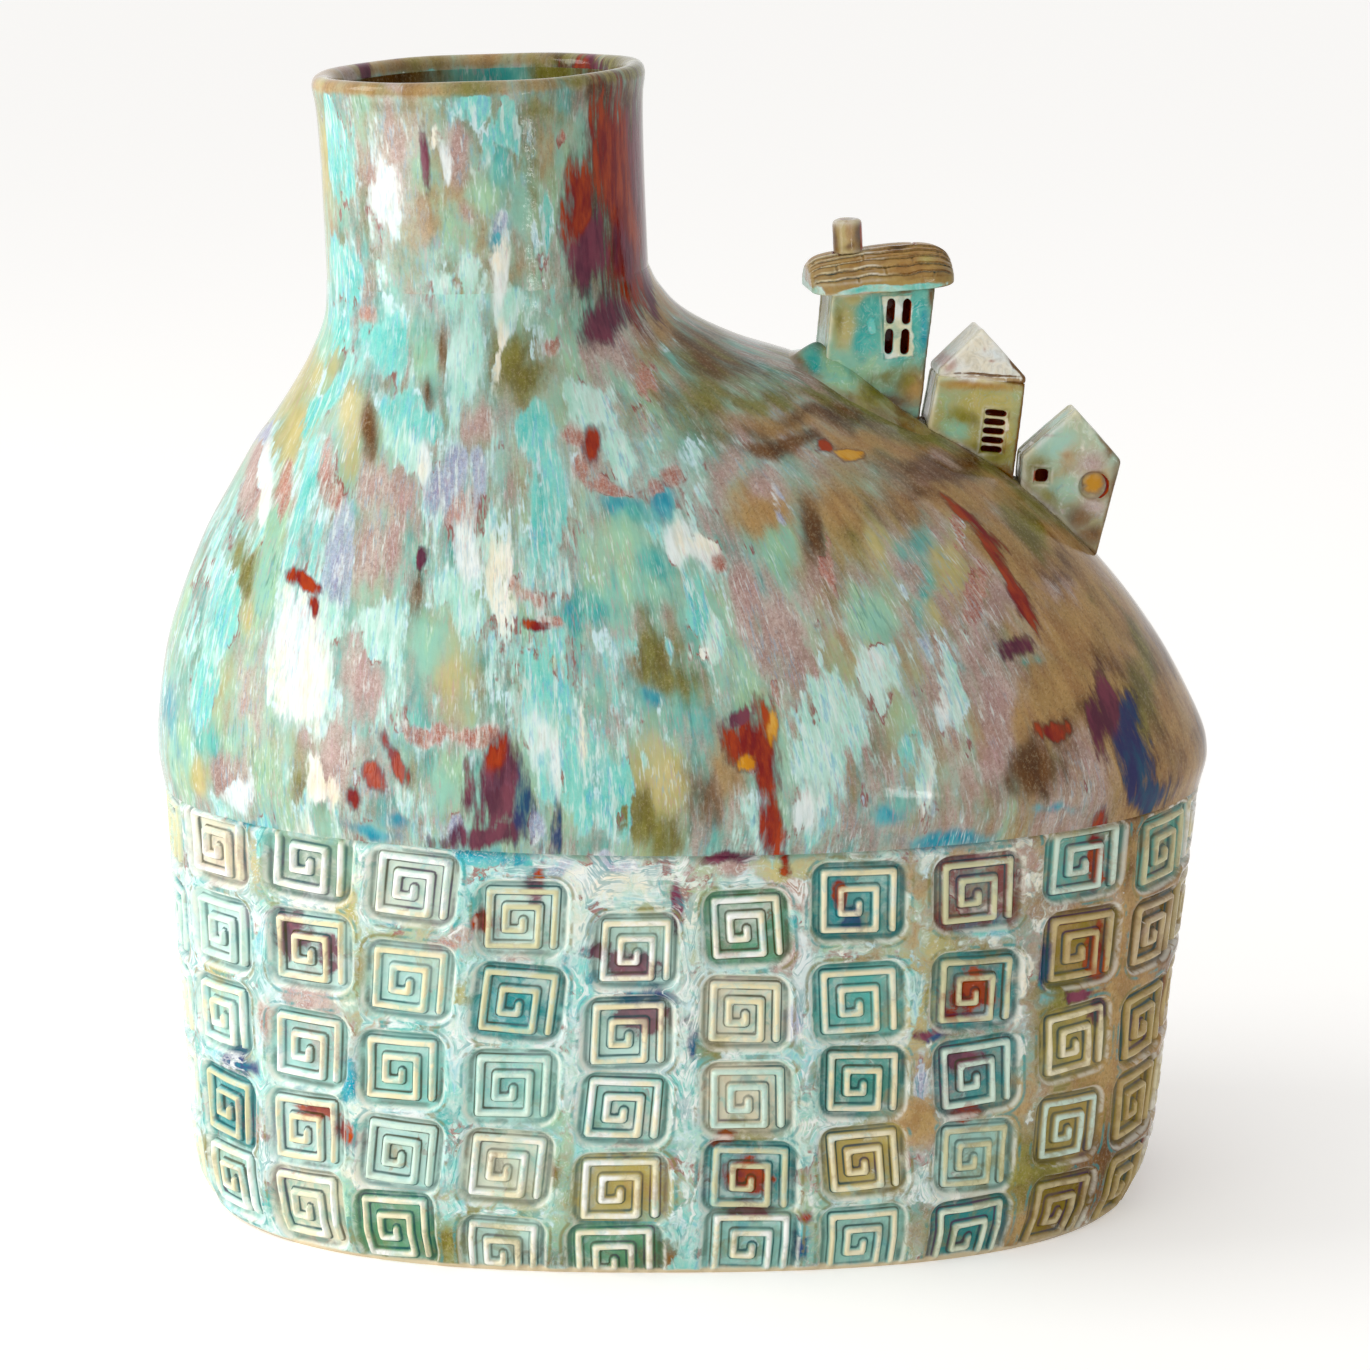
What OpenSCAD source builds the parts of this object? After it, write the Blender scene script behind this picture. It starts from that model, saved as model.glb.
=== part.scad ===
// Slab-built ceramic vase: stamped oval wall, lopsided shoulder, leaning neck and
// three small slab houses standing on the ridge of the shoulder.
// Millimetres, +Z up, origin on the table under the middle of the body.

/* [Body] */
// Half width of the body at the belt seam
belt_half_w = 132.5; // [115:0.5:160]
// Half depth of the body at the belt seam
belt_half_d = 70; // [58:1:90]
// Height of the belt seam above the table
belt_h = 108; // [90:1:130]
// Squareness of the belt's oval, where 2 is an ellipse
belt_square = 2.05; // [2:0.05:2.6]
// Half width of the body just above the foot
foot_half_w = 124.5; // [105:0.5:160]
// Half depth of the body just above the foot
foot_half_d = 69; // [55:0.5:90]
// Squareness of the foot's oval
foot_square = 2.5; // [2:0.05:2.8]
// Sideways set of the foot against the belt
foot_shift = -3; // [-8:0.5:8]
// Height over which the wall's ends curve in to the foot
foot_curve_h = 16; // [14:0.5:24]
// Distance that the wall's ends are drawn in at the table
foot_draw = 4.5; // [0:0.5:8]
// Thickness of the stamped wall slabs
wall_t = 6; // [4:0.5:9]
// Thickness of the floor slab
floor_t = 8; // [5:0.5:12]
// Leg of the luting coil pressed into the corner of floor and wall
coil_leg = 9; // [5:0.5:14]
// Gap filled by slip round the floor and its coil
slip_gap = 0.1; // [0:0.05:0.3]

/* [Neck] */
// Outer radius of the neck
neck_r = 39.7; // [32:0.1:48]
// Thickness of the neck
neck_wall = 5; // [3.5:0.5:7]
// Place of the neck's axis at its joint with the shoulder
neck_x = -48.2; // [-60:0.2:-36]
// Height of the joint on the neck's axis
neck_joint_h = 238; // [215:1:270]
// Length of the neck above the joint
neck_len = 49.6; // [36:0.2:70]
// Lean of the neck away from the houses, in degrees
neck_lean = 2; // [0:0.5:5]
// Fullness of the rounded lip outside the neck
lip_out = 0.8; // [0:0.1:2]

/* [Shoulder] */
// Narrowness of the ridge that carries the houses
ridge_sharpness = 3; // [2:0.25:5]

/* [Houses] */
// Thickness of the house slabs
house_t = 2.5; // [2:0.25:3.5]
// Distance of the leaning house's middle from the body's right end
row_end = 37.7; // [34:0.1:50]
// Clear distance between the tall house and the gable house, level with their feet
tall_gap = 1; // [0.4:0.1:4]
// Clear distance between the gable house and the leaning house, level with their feet
gable_gap = 1.3; // [0.2:0.1:4]

/* [Tall house] */
// Width at the ridge
tall_foot_w = 25.2; // [20:0.2:31]
// Depth from front to back
tall_d = 15; // [11:0.5:20]
// Height from the ridge to the eaves
tall_eave_h = 25.2; // [20:0.2:32]
// Turn about the upright, in degrees
tall_yaw = 8; // [0:1:12]
// Tip to the right, in degrees
tall_lean = -3; // [-5:0.5:6]
// Slant of the left wall to the right, in degrees
tall_left_slant = 7.8; // [0:0.2:10]
// Slant of the right wall to the right, in degrees
tall_right_slant = 9; // [0:0.2:11]
// Overhang of the roof past the side walls
roof_over = 5; // [2:0.1:7]
// Overhang of the roof past the front and back walls
roof_front_over = 3; // [1:0.1:5]
// Height of the roof's crown above the eaves
roof_h = 9.7; // [6.5:0.1:12]
// Thickness of the roof at its edges
eave_t = 3.2; // [2:0.1:4]
// Number of shingle courses on each slope of the roof
courses = 4; // [3:1:5]
// Width of the groove pressed between two courses
groove_w = 0.6; // [0.4:0.1:0.8]
// Depth of that groove
groove_depth = 0.5; // [0.3:0.1:0.7]
// Radius of the chimney
chimney_r = 3.5; // [2.5:0.1:4.2]
// Radius of the chimney's flue
flue_r = 1.5; // [0.8:0.1:1.8]
// Height of the chimney above the roof's crown
chimney_h = 7.4; // [5:0.2:12]
// Place of the chimney along the roof, from its middle
chimney_x = -7.2; // [-9:0.2:9]
// Depth of the flat seat cut into the crown for the chimney
chimney_seat = 0.7; // [0.6:0.1:1.2]
// Width of one window pane
pane_w = 1.8; // [1.2:0.1:2.4]
// Height of one window pane
pane_h = 6.2; // [4.5:0.1:6.8]
// Spacing of the panes across the window
pane_pitch_x = 4; // [3.2:0.1:4.8]
// Spacing of the panes up the window
pane_pitch_z = 7.5; // [7.2:0.1:8.4]
// Place of the window to the right of the eaves' middle
window_x = 3.2; // [-3:0.1:4]
// Drop of the window's middle below the eaves
window_drop = 9.2; // [8.4:0.1:10]
// Radius of the clay bank pressed along the foot
bank_r = 2.8; // [2:0.1:4]
// Radius of the lump at the bank's upper end
lump_r = 3.8; // [2.5:0.1:5]
// Length of the bank
bank_len = 21; // [12:0.5:24]
// Reach of the clay fillet out from the foot of the left wall
fillet_out = 6; // [3:0.5:8]
// Height of that fillet up the wall
fillet_up = 8; // [4:0.5:12]

/* [Gable house] */
// Width at the ridge
gable_foot_w = 23; // [18:0.2:28]
// Depth from front to back
gable_d = 13; // [8:0.5:16]
// Height from the ridge to the eaves
gable_eave_h = 17.4; // [16.6:0.2:22]
// Rise of the roof
gable_rise = 11; // [8:0.2:14]
// Thickness of the roof at its eaves
gable_eave_t = 1.5; // [0.5:0.1:3]
// Place of the roof's ridge to the right of the eaves' middle
gable_ridge_x = -1.6; // [-4:0.1:4]
// Turn about the upright, in degrees
gable_yaw = 5; // [0:1:10]
// Tip to the right, in degrees
gable_lean = 6.2; // [0:0.2:8]
// Slant of the left wall to the right, in degrees
gable_left_slant = 4; // [0:0.2:6]
// Slant of the right wall to the right, in degrees
gable_right_slant = 0; // [-2:0.2:3]
// Width of one louvre slot
slot_w = 5.2; // [3:0.1:6]
// Height of one louvre slot
slot_h = 1.3; // [0.8:0.1:1.5]
// Spacing of the louvre slots
slot_pitch = 2.3; // [2:0.1:2.4]
// Number of louvre slots
slots = 5; // [3:1:5]
// Place of the louvre to the right of the eaves' middle
louvre_x = 4.5; // [-4:0.1:5]
// Drop of the top slot below the eaves
louvre_drop = 8; // [4:0.1:8]

/* [Leaning house] */
// Width at the ridge
leaning_foot_w = 21.8; // [17:0.2:26]
// Depth from front to back
leaning_d = 10; // [8:0.5:14]
// Height from the ridge to the eaves
leaning_eave_h = 15.6; // [14:0.2:19]
// Rise of the gables
leaning_rise = 12.3; // [9:0.1:15]
// Turn about the upright, in degrees
leaning_yaw = 3; // [0:1:8]
// Tip to the right, in degrees
leaning_lean = 3.4; // [0:0.2:8]
// Slant of the left wall to the right, in degrees
leaning_left_slant = -1; // [-4:0.2:3]
// Slant of the right wall to the right, in degrees
leaning_right_slant = 9.4; // [4:0.2:11]
// Thickness of the roof slabs
roof_t = 2; // [1.5:0.1:2.5]
// Side of the square window
port_w = 3; // [2:0.1:3.6]
// Place of the square window to the left of the eaves' middle
port_x = 7.2; // [6:0.1:7.5]
// Drop of the square window below the eaves
port_drop = 4.6; // [2:0.1:6]
// Radius of the round dish
dish_r = 3.8; // [2.5:0.1:4.4]
// Depth of the round dish
dish_depth = 1.6; // [0.8:0.1:1.8]
// Place of the dish to the right of the eaves' middle
dish_x = 6; // [4:0.1:6.5]
// Drop of the dish below the eaves
dish_drop = 6.6; // [4:0.1:8]

/* [Hidden] */
$fn = 48;

glaze_green = [0.53, 0.74, 0.68];
glaze_sage = [0.62, 0.68, 0.55];
glaze_cream = [0.86, 0.82, 0.72];
glaze_tan = [0.66, 0.55, 0.38];
bare_clay = [0.85, 0.74, 0.62];

// Facets round the oval; the front half is the second half of the turn
seg = 80;
// Smoothing steps between two points of a shoulder profile
profile_steps = 3;
neck_bore_r = neck_r - neck_wall;
// Length that house slabs run on below the ridge, before the slope trims them
root_depth = 30;
// Distance past a house's feet, and facets each side of the ridge, that trim its feet
trim_margin = 16;
trim_facets = 7;
// Distance that cuts run on past a face
cut_past = 1;
// Row of houses, placed from the body's right end towards the neck
leaning_x = belt_half_w - row_end;
gable_x = leaning_x - (leaning_foot_w + gable_foot_w) / 2 - gable_gap;
tall_x = gable_x - (gable_foot_w + tall_foot_w) / 2 - tall_gap;

// Shoulder profiles from the neck to the belt. Each point is [share of the way out from
// neck to belt, share of the way up from belt to neck joint].
ridge_profile = [
    [0, 1], [0.02, 0.958], [0.065, 0.911], [0.16, 0.862], [0.30, 0.811], [0.46, 0.718],
    [0.63, 0.608], [0.79, 0.452], [0.907, 0.295], [0.988, 0.14], [1.01, 0.065], [1, 0]
];
left_profile = [
    [0, 1], [0.02, 0.925], [0.1, 0.857], [0.2, 0.796], [0.31, 0.738], [0.43, 0.68],
    [0.57, 0.597], [0.72, 0.505], [0.86, 0.385], [0.965, 0.265], [1.03, 0.095], [1, 0]
];
front_profile = [
    [0, 1], [0.02, 0.93], [0.1, 0.87], [0.2, 0.805], [0.32, 0.74], [0.45, 0.66],
    [0.6, 0.56], [0.75, 0.44], [0.88, 0.32], [0.98, 0.18], [1.03, 0.07], [1, 0]
];
last_ring = (len(ridge_profile) - 1) * profile_steps;
// Last ring at which the ridge still falls gently enough to carry houses
ridge_end = last_ring - 2 * profile_steps;

// Ovals

function signed_pow(v, p) = sign(v) * pow(abs(v), p);
function oval(half_w, half_d, square, turn) =
    [half_w * signed_pow(cos(turn), 2 / square), half_d * signed_pow(sin(turn), 2 / square)];
function turn_of(j) = 360 * j / seg;

// Inward draw of the wall's ends at height z, straight between the heights of its rings
wall_heights = [0, floor_t, foot_curve_h, belt_h];
function draw_at(z) =
    lookup(z, [for (h = wall_heights) [h, foot_draw * pow(1 - min(h / foot_curve_h, 1), 2)]]);

// Point of the stamped wall at height z, set in from its outer face
function wall_point(z, inset, j) =
    let (
        foot_w = foot_half_w - inset - draw_at(z),
        foot = oval(foot_w, foot_half_d - inset, foot_square, turn_of(j)) + [foot_shift, 0],
        belt = oval(belt_half_w - inset, belt_half_d - inset, belt_square, turn_of(j)),
        up = z / belt_h,
        p = foot * (1 - up) + belt * up
    )
    [p.x, p.y, z];
function wall_ring(z, inset, first = 0, last = seg - 1) = [for (j = [first:last]) wall_point(z, inset, j)];

// Shoulder surface

function curve(points, k) =
    let (
        i = min(floor(k / profile_steps), len(points) - 2),
        t = k / profile_steps - i,
        b = points[i],
        c = points[i + 1],
        a = i > 0 ? points[i - 1] : 2 * b - c,
        d = i + 2 < len(points) ? points[i + 2] : 2 * c - b
    )
    0.5 * (2 * b + (c - a) * t + (2 * a - 5 * b + 4 * c - d) * t * t + (3 * b - a - 3 * c + d) * t * t * t);

function neck_point(radius, bearing) =
    [neck_x + radius * cos(bearing) * cos(neck_lean),
     radius * sin(bearing),
     neck_joint_h + radius * cos(bearing) * sin(neck_lean)];

// Outer point of the shoulder: ring k counts down from the neck joint to the belt
function shoulder_point(k, j) =
    let (
        belt = oval(belt_half_w, belt_half_d, belt_square, turn_of(j)),
        bearing = atan2(belt.y, belt.x - neck_x),
        start = neck_point(neck_r, bearing),
        towards = cos(bearing),
        ridge_share = towards > 0 ? pow(towards, ridge_sharpness) : 0,
        left_share = towards < 0 ? towards * towards : 0,
        front_share = 1 - ridge_share - left_share,
        p = curve(ridge_profile, k) * ridge_share + curve(left_profile, k) * left_share
            + curve(front_profile, k) * front_share
    )
    [start.x + (belt.x - start.x) * p[0],
     start.y + (belt.y - start.y) * p[0],
     belt_h + (start.z - belt_h) * p[1]];

outer_rings = [for (k = [0:last_ring]) [for (j = [0:seg - 1]) shoulder_point(k, j)]];

function unit(v) = v / norm(v);
function shoulder_normal(k, j) =
    let (
        down = outer_rings[min(k + 1, last_ring)][j] - outer_rings[max(k - 1, 0)][j],
        round = outer_rings[k][(j + 1) % seg] - outer_rings[k][(j + seg - 1) % seg]
    )
    unit(cross(down, round));

// Inner point of the shoulder, one slab thickness in from the outer one
function shoulder_inner(k, j) =
    k == 0 ? let (belt = oval(belt_half_w, belt_half_d, belt_square, turn_of(j)))
        neck_point(neck_bore_r, atan2(belt.y, belt.x - neck_x))
    : k == last_ring ? wall_point(belt_h, wall_t, j)
    : outer_rings[k][j] - shoulder_normal(k, j) * (neck_wall + (wall_t - neck_wall) * k / last_ring);

// Height of the ridge, on the vase's middle plane, at a distance x from the middle
ridge_line = [for (k = [0:ridge_end]) [outer_rings[k][0].x, outer_rings[k][0].z]];
function ridge_z(x) = lookup(x, ridge_line);

// Closed solids from rings of points

function flat(lists) = [for (l = lists) each l];
function quad(a, b, c, d) = [[a, b, c], [a, c, d]];

// Solid inside a closed chain of rings, each ring a full turn
module ring_chain(rings) {
    n = len(rings[0]);
    m = len(rings);
    faces = flat([for (i = [0:m - 1], j = [0:n - 1])
        let (i2 = (i + 1) % m, j2 = (j + 1) % n)
        quad(i * n + j, i2 * n + j, i2 * n + j2, i * n + j2)]);
    polyhedron(flat(rings), faces);
}

// Solid inside a closed chain of part rings, closed by a face at each end
module arc_chain(rings) {
    n = len(rings[0]);
    m = len(rings);
    sides = flat([for (i = [0:m - 1], j = [0:n - 2])
        let (i2 = (i + 1) % m)
        quad(i * n + j, i2 * n + j, i2 * n + j + 1, i * n + j + 1)]);
    first_end = [for (i = [m - 1:-1:0]) i * n];
    last_end = [for (i = [0:m - 1]) i * n + n - 1];
    polyhedron(flat(rings), concat(sides, [first_end, last_end]));
}

// Plate between two rings, one above the other
module ring_plate(low, high) {
    n = len(low);
    sides = flat([for (j = [0:n - 1])
        let (j2 = (j + 1) % n)
        quad(j, n + j, n + j2, j2)]);
    polyhedron(concat(low, high), concat(sides, [[for (j = [0:n - 1]) j], [for (j = [n - 1:-1:0]) n + j]]));
}

// Body

module floor_slab() {
    color(bare_clay)
        ring_plate(wall_ring(0, wall_t + slip_gap), wall_ring(floor_t, wall_t + slip_gap));
}

module floor_coil() {
    inset = wall_t + slip_gap;
    hollow = coil_leg / 3;
    color(bare_clay)
        ring_chain([
            wall_ring(floor_t, inset),
            wall_ring(floor_t, inset + coil_leg),
            wall_ring(floor_t + hollow, inset + hollow),
            wall_ring(floor_t + coil_leg, inset)
        ]);
}

module wall_slab(first, last) {
    arc_chain(concat(
        [for (z = wall_heights) wall_ring(z, wall_t, first, last)],
        [for (i = [len(wall_heights) - 1:-1:0]) wall_ring(wall_heights[i], 0, first, last)]
    ));
}

module front_wall() {
    color(glaze_green) wall_slab(seg / 2, seg);
}

module back_wall() {
    color(glaze_green) wall_slab(0, seg / 2);
}

module shoulder() {
    inner_rings = [for (k = [last_ring:-1:0]) [for (j = [0:seg - 1]) shoulder_inner(k, j)]];
    color(glaze_green) ring_chain(concat(outer_rings, inner_rings));
}

module neck() {
    lip_r = neck_wall / 2;
    color(glaze_tan)
        translate([neck_x, 0, neck_joint_h])
            rotate([0, -neck_lean, 0])
                rotate_extrude() {
                    translate([neck_bore_r, 0]) square([neck_wall, neck_len - lip_r]);
                    translate([neck_bore_r + lip_r, neck_len - lip_r]) circle(lip_r);
                    translate([neck_r - lip_r + lip_out, neck_len - lip_r]) circle(lip_r);
                    translate([neck_bore_r + lip_r, neck_len - 2 * lip_r]) square([lip_out, 2 * lip_r]);
                }
}

// Houses on the ridge

// Block under the ridge whose top is the shoulder's own surface, for trimming house feet
module ridge_block(house) {
    span = house[3] / 2 + trim_margin;
    rings = [for (k = [profile_steps:ridge_end])
        if (abs(outer_rings[k][0].x - house[0]) < span)
            [for (i = [-trim_facets:trim_facets]) outer_rings[k][(i + seg) % seg]]];
    n = 2 * trim_facets + 1;
    m = len(rings);
    top = flat(rings);
    bottom = [for (p = top) [p.x, p.y, belt_h]];
    t = n * m;
    tops = flat([for (i = [0:m - 2], j = [0:n - 2]) let (a = i * n + j) quad(a, a + 1, a + n + 1, a + n)]);
    edge = concat([for (j = [0:n - 1]) j], [for (i = [1:m - 1]) i * n + n - 1],
        [for (j = [n - 2:-1:0]) (m - 1) * n + j], [for (i = [m - 2:-1:1]) i * n]);
    e = len(edge);
    walls = flat([for (i = [0:e - 1]) let (a = edge[i], b = edge[(i + 1) % e]) quad(a, t + a, t + b, b)]);
    bottoms = flat([for (i = [0:m - 2], j = [0:n - 2])
        let (a = t + i * n + j) quad(a, a + n, a + n + 1, a + 1)]);
    polyhedron(concat(top, bottom), concat(tops, walls, bottoms));
}

// A house is [place along X, yaw, lean, foot width, depth, eave height, left slant, right slant]
tall = [tall_x, tall_yaw, tall_lean, tall_foot_w, tall_d, tall_eave_h, tall_left_slant, tall_right_slant];
gable = [
    gable_x, gable_yaw, gable_lean, gable_foot_w, gable_d, gable_eave_h,
    gable_left_slant, gable_right_slant
];
leaning = [
    leaning_x, leaning_yaw, leaning_lean, leaning_foot_w, leaning_d, leaning_eave_h,
    leaning_left_slant, leaning_right_slant
];

function depth_of(house) = house[4];
function eave_of(house) = house[5];
function left_x(house, z) = -house[3] / 2 + z * tan(house[6]);
function right_x(house, z) = house[3] / 2 + z * tan(house[7]);
function eave_w(house) = right_x(house, eave_of(house)) - left_x(house, eave_of(house));
function eave_middle(house) = (right_x(house, eave_of(house)) + left_x(house, eave_of(house))) / 2;

module on_ridge(house) {
    translate([house[0], 0, ridge_z(house[0])])
        rotate([0, 0, house[1]])
            rotate([0, house[2], 0])
                children();
}

module seated(house) {
    difference() {
        on_ridge(house) children();
        ridge_block(house);
    }
}

// Extrudes a front view through the thickness t, from the plane y0 backwards
module upright(y0, t) {
    translate([0, y0 + t, 0]) rotate([90, 0, 0]) linear_extrude(t) children();
}

// Front view of a house's slab, with a gable where it rises above the eaves
module front_view(house, rise = 0) {
    top = eave_of(house);
    low = -root_depth;
    apex = rise > 0 ? [[eave_middle(house), top + rise]] : [];
    polygon(concat(
        [[left_x(house, low), low], [right_x(house, low), low], [right_x(house, top), top]],
        apex, [[left_x(house, top), top]]));
}

module front_slab(house) {
    upright(-depth_of(house) / 2, house_t) children();
}

module back_slab(house) {
    upright(depth_of(house) / 2 - house_t, house_t) children();
}

module between_slabs(house) {
    upright(house_t - depth_of(house) / 2, depth_of(house) - 2 * house_t) children();
}

module left_slab(house) {
    top = eave_of(house);
    low = -root_depth;
    seated(house)
        between_slabs(house)
            polygon([
                [left_x(house, low), low], [left_x(house, low) + house_t, low],
                [left_x(house, top) + house_t, top], [left_x(house, top), top]
            ]);
}

module right_slab(house) {
    top = eave_of(house);
    low = -root_depth;
    seated(house)
        between_slabs(house)
            polygon([
                [right_x(house, low) - house_t, low], [right_x(house, low), low],
                [right_x(house, top), top], [right_x(house, top) - house_t, top]
            ]);
}

// Tall house

module pill(w, h) {
    square([w, h - w], center = true);
    for (end = [-1, 1]) translate([0, end * (h - w) / 2]) circle(w / 2);
}

module tall_house_front() {
    pane_slant = (tall_left_slant + tall_right_slant) / 3;
    color(glaze_green)
        seated(tall)
            front_slab(tall)
                difference() {
                    front_view(tall);
                    translate([eave_middle(tall) + window_x, tall_eave_h - window_drop])
                        rotate(-pane_slant)
                            for (col = [-0.5, 0.5], row = [-0.5, 0.5])
                                translate([col * pane_pitch_x, row * pane_pitch_z]) pill(pane_w, pane_h);
                }
}

module tall_house_back() {
    color(glaze_green) seated(tall) back_slab(tall) front_view(tall);
}

module tall_house_left() {
    color(glaze_green) left_slab(tall);
}

module tall_house_right() {
    color(glaze_green) right_slab(tall);
}

module on_tall_eaves() {
    on_ridge(tall) translate([eave_middle(tall), 0, tall_eave_h]) children();
}

module tall_house_roof() {
    roof_w = eave_w(tall) + 2 * roof_over;
    roof_d = tall_d + 2 * roof_front_over;
    crown = roof_h - eave_t;
    crown_r = (roof_d * roof_d / 4 + crown * crown) / (2 * crown);
    course_angle = asin(roof_d / 2 / crown_r) / courses;
    color(glaze_tan)
        on_tall_eaves()
            difference() {
                intersection() {
                    translate([-roof_w / 2, 0, roof_h - crown_r])
                        rotate([0, 90, 0])
                            cylinder(h = roof_w, r = crown_r);
                    translate([-roof_w / 2, -roof_d / 2, 0]) cube([roof_w, roof_d, roof_h]);
                }
                for (side = [-1, 1], i = [1:courses - 1])
                    translate([0, 0, roof_h - crown_r])
                        rotate([side * i * course_angle, 0, 0])
                            translate([0, 0, crown_r])
                                cube([roof_w + 2 * cut_past, groove_w, 2 * groove_depth], center = true);
                translate([chimney_x, 0, roof_h - chimney_seat])
                    cylinder(h = roof_h, r = chimney_r + slip_gap);
            }
}

module tall_house_chimney() {
    rim_r = 0.8;
    tall_h = chimney_h + chimney_seat;
    color(glaze_tan)
        on_tall_eaves()
            translate([chimney_x, 0, roof_h - chimney_seat])
                rotate_extrude() {
                    translate([flue_r, 0]) square([chimney_r - flue_r, tall_h - rim_r]);
                    translate([flue_r, 0]) square([chimney_r - flue_r - rim_r, tall_h]);
                    translate([chimney_r - rim_r, tall_h - rim_r]) circle(rim_r);
                }
}

// Hollow fillet between the ridge and a house's left wall
module wall_fillet(house) {
    low = -root_depth;
    foot_z = ridge_z(house[0] - house[3] / 2) - ridge_z(house[0]);
    difference() {
        polygon([
            [left_x(house, low), low], [left_x(house, foot_z + fillet_up), foot_z + fillet_up],
            [left_x(house, foot_z) - fillet_out, foot_z], [left_x(house, low) - fillet_out, low]
        ]);
        translate([left_x(house, foot_z) - fillet_out, foot_z + fillet_up])
            resize([2 * fillet_out, 2 * fillet_up]) circle(fillet_up);
    }
}

module tall_house_bank() {
    bank_out = bank_r / 3;
    start_x = tall_x - tall_foot_w / 2;
    start_z = ridge_z(start_x) - ridge_z(tall_x);
    fall = atan2(ridge_z(start_x + bank_len) - ridge_z(start_x), bank_len);
    color(glaze_sage) {
        difference() {
            translate([tall_x, 0, ridge_z(tall_x)])
                rotate([0, 0, tall_yaw])
                    translate([-tall_foot_w / 2, -tall_d / 2 - bank_out, start_z])
                        rotate([0, 90 - fall, 0]) {
                            cylinder(h = bank_len, r = bank_r);
                            sphere(lump_r);
                            translate([0, 0, bank_len]) sphere(bank_r);
                        }
            ridge_block(tall);
            on_ridge(tall)
                translate([-tall_foot_w, -tall_d / 2, -root_depth])
                    cube([2 * tall_foot_w, tall_d, 2 * root_depth]);
        }
        seated(tall)
            upright(-tall_d / 2 - bank_out, tall_d + bank_out)
                wall_fillet(tall);
    }
}

// Gable house

module gable_house_front() {
    color(glaze_sage)
        seated(gable)
            front_slab(gable)
                difference() {
                    front_view(gable);
                    translate([eave_middle(gable) + louvre_x, gable_eave_h - louvre_drop])
                        for (i = [0:slots - 1])
                            translate([0, -i * slot_pitch]) square([slot_w, slot_h], center = true);
                }
}

module gable_house_back() {
    color(glaze_sage) seated(gable) back_slab(gable) front_view(gable);
}

module gable_house_left() {
    color(glaze_sage) left_slab(gable);
}

module gable_house_right() {
    color(glaze_sage) right_slab(gable);
}

module gable_house_roof() {
    half_w = eave_w(gable) / 2;
    color(glaze_cream)
        on_ridge(gable)
            upright(-gable_d / 2, gable_d)
                translate([eave_middle(gable), gable_eave_h])
                    polygon([
                        [-half_w, 0], [half_w, 0], [half_w, gable_eave_t],
                        [gable_ridge_x, gable_eave_t + gable_rise], [-half_w, gable_eave_t]
                    ]);
}

// Leaning house

module leaning_house_front() {
    middle = eave_middle(leaning);
    color(glaze_sage)
        seated(leaning)
            difference() {
                front_slab(leaning)
                    difference() {
                        front_view(leaning, leaning_rise);
                        translate([middle - port_x, leaning_eave_h - port_drop])
                            square(port_w, center = true);
                    }
                upright(-leaning_d / 2 - cut_past, dish_depth + cut_past)
                    translate([middle + dish_x, leaning_eave_h - dish_drop]) circle(dish_r);
            }
}

module leaning_house_back() {
    color(glaze_sage) seated(leaning) back_slab(leaning) front_view(leaning, leaning_rise);
}

module leaning_house_left() {
    color(glaze_sage) left_slab(leaning);
}

module leaning_house_right() {
    color(glaze_sage) right_slab(leaning);
}

// One roof slab between the gables, from the ridge to the eave: side is -1 or 1
module roof_slab(side) {
    half_w = eave_w(leaning) / 2;
    pitch = atan2(leaning_rise, half_w);
    on_ridge(leaning)
        between_slabs(leaning)
            translate([eave_middle(leaning), leaning_eave_h])
                polygon([
                    [0, leaning_rise], [side * half_w, 0],
                    [side * (half_w - roof_t / sin(pitch)), 0], [0, leaning_rise - roof_t / cos(pitch)]
                ]);
}

module leaning_house_roof_left() {
    color(glaze_sage) roof_slab(-1);
}

module leaning_house_roof_right() {
    color(glaze_sage) roof_slab(1);
}

floor_slab();
floor_coil();
front_wall();
back_wall();
shoulder();
neck();
tall_house_front();
tall_house_back();
tall_house_left();
tall_house_right();
tall_house_roof();
tall_house_chimney();
tall_house_bank();
gable_house_front();
gable_house_back();
gable_house_left();
gable_house_right();
gable_house_roof();
leaning_house_front();
leaning_house_back();
leaning_house_left();
leaning_house_right();
leaning_house_roof_left();
leaning_house_roof_right();
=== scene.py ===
import math
from itertools import product

import bmesh
import bpy
import numpy as np
from mathutils import Matrix, Vector
from mathutils.kdtree import KDTree


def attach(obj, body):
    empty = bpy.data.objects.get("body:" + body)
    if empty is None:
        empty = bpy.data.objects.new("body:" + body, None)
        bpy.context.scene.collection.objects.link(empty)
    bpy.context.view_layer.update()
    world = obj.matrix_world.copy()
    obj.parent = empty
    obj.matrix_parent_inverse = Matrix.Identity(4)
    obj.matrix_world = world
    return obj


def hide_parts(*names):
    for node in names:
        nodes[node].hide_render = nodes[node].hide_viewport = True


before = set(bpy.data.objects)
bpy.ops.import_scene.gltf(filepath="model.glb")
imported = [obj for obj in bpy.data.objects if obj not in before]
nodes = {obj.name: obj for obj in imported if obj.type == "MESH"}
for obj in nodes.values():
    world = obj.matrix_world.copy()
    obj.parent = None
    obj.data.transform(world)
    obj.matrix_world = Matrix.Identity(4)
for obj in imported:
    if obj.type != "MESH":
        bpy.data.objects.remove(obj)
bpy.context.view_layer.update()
scene = bpy.context.scene
mm = 0.001


# Small helpers

hashSteps = np.array([374761393, 668265263, 2147483647])
hashTurn = 1274126177


def smoothStep(low, high, value):
    t = np.clip((value - low) / (high - low), 0, 1)
    return t * t * (3 - 2 * t)


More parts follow.
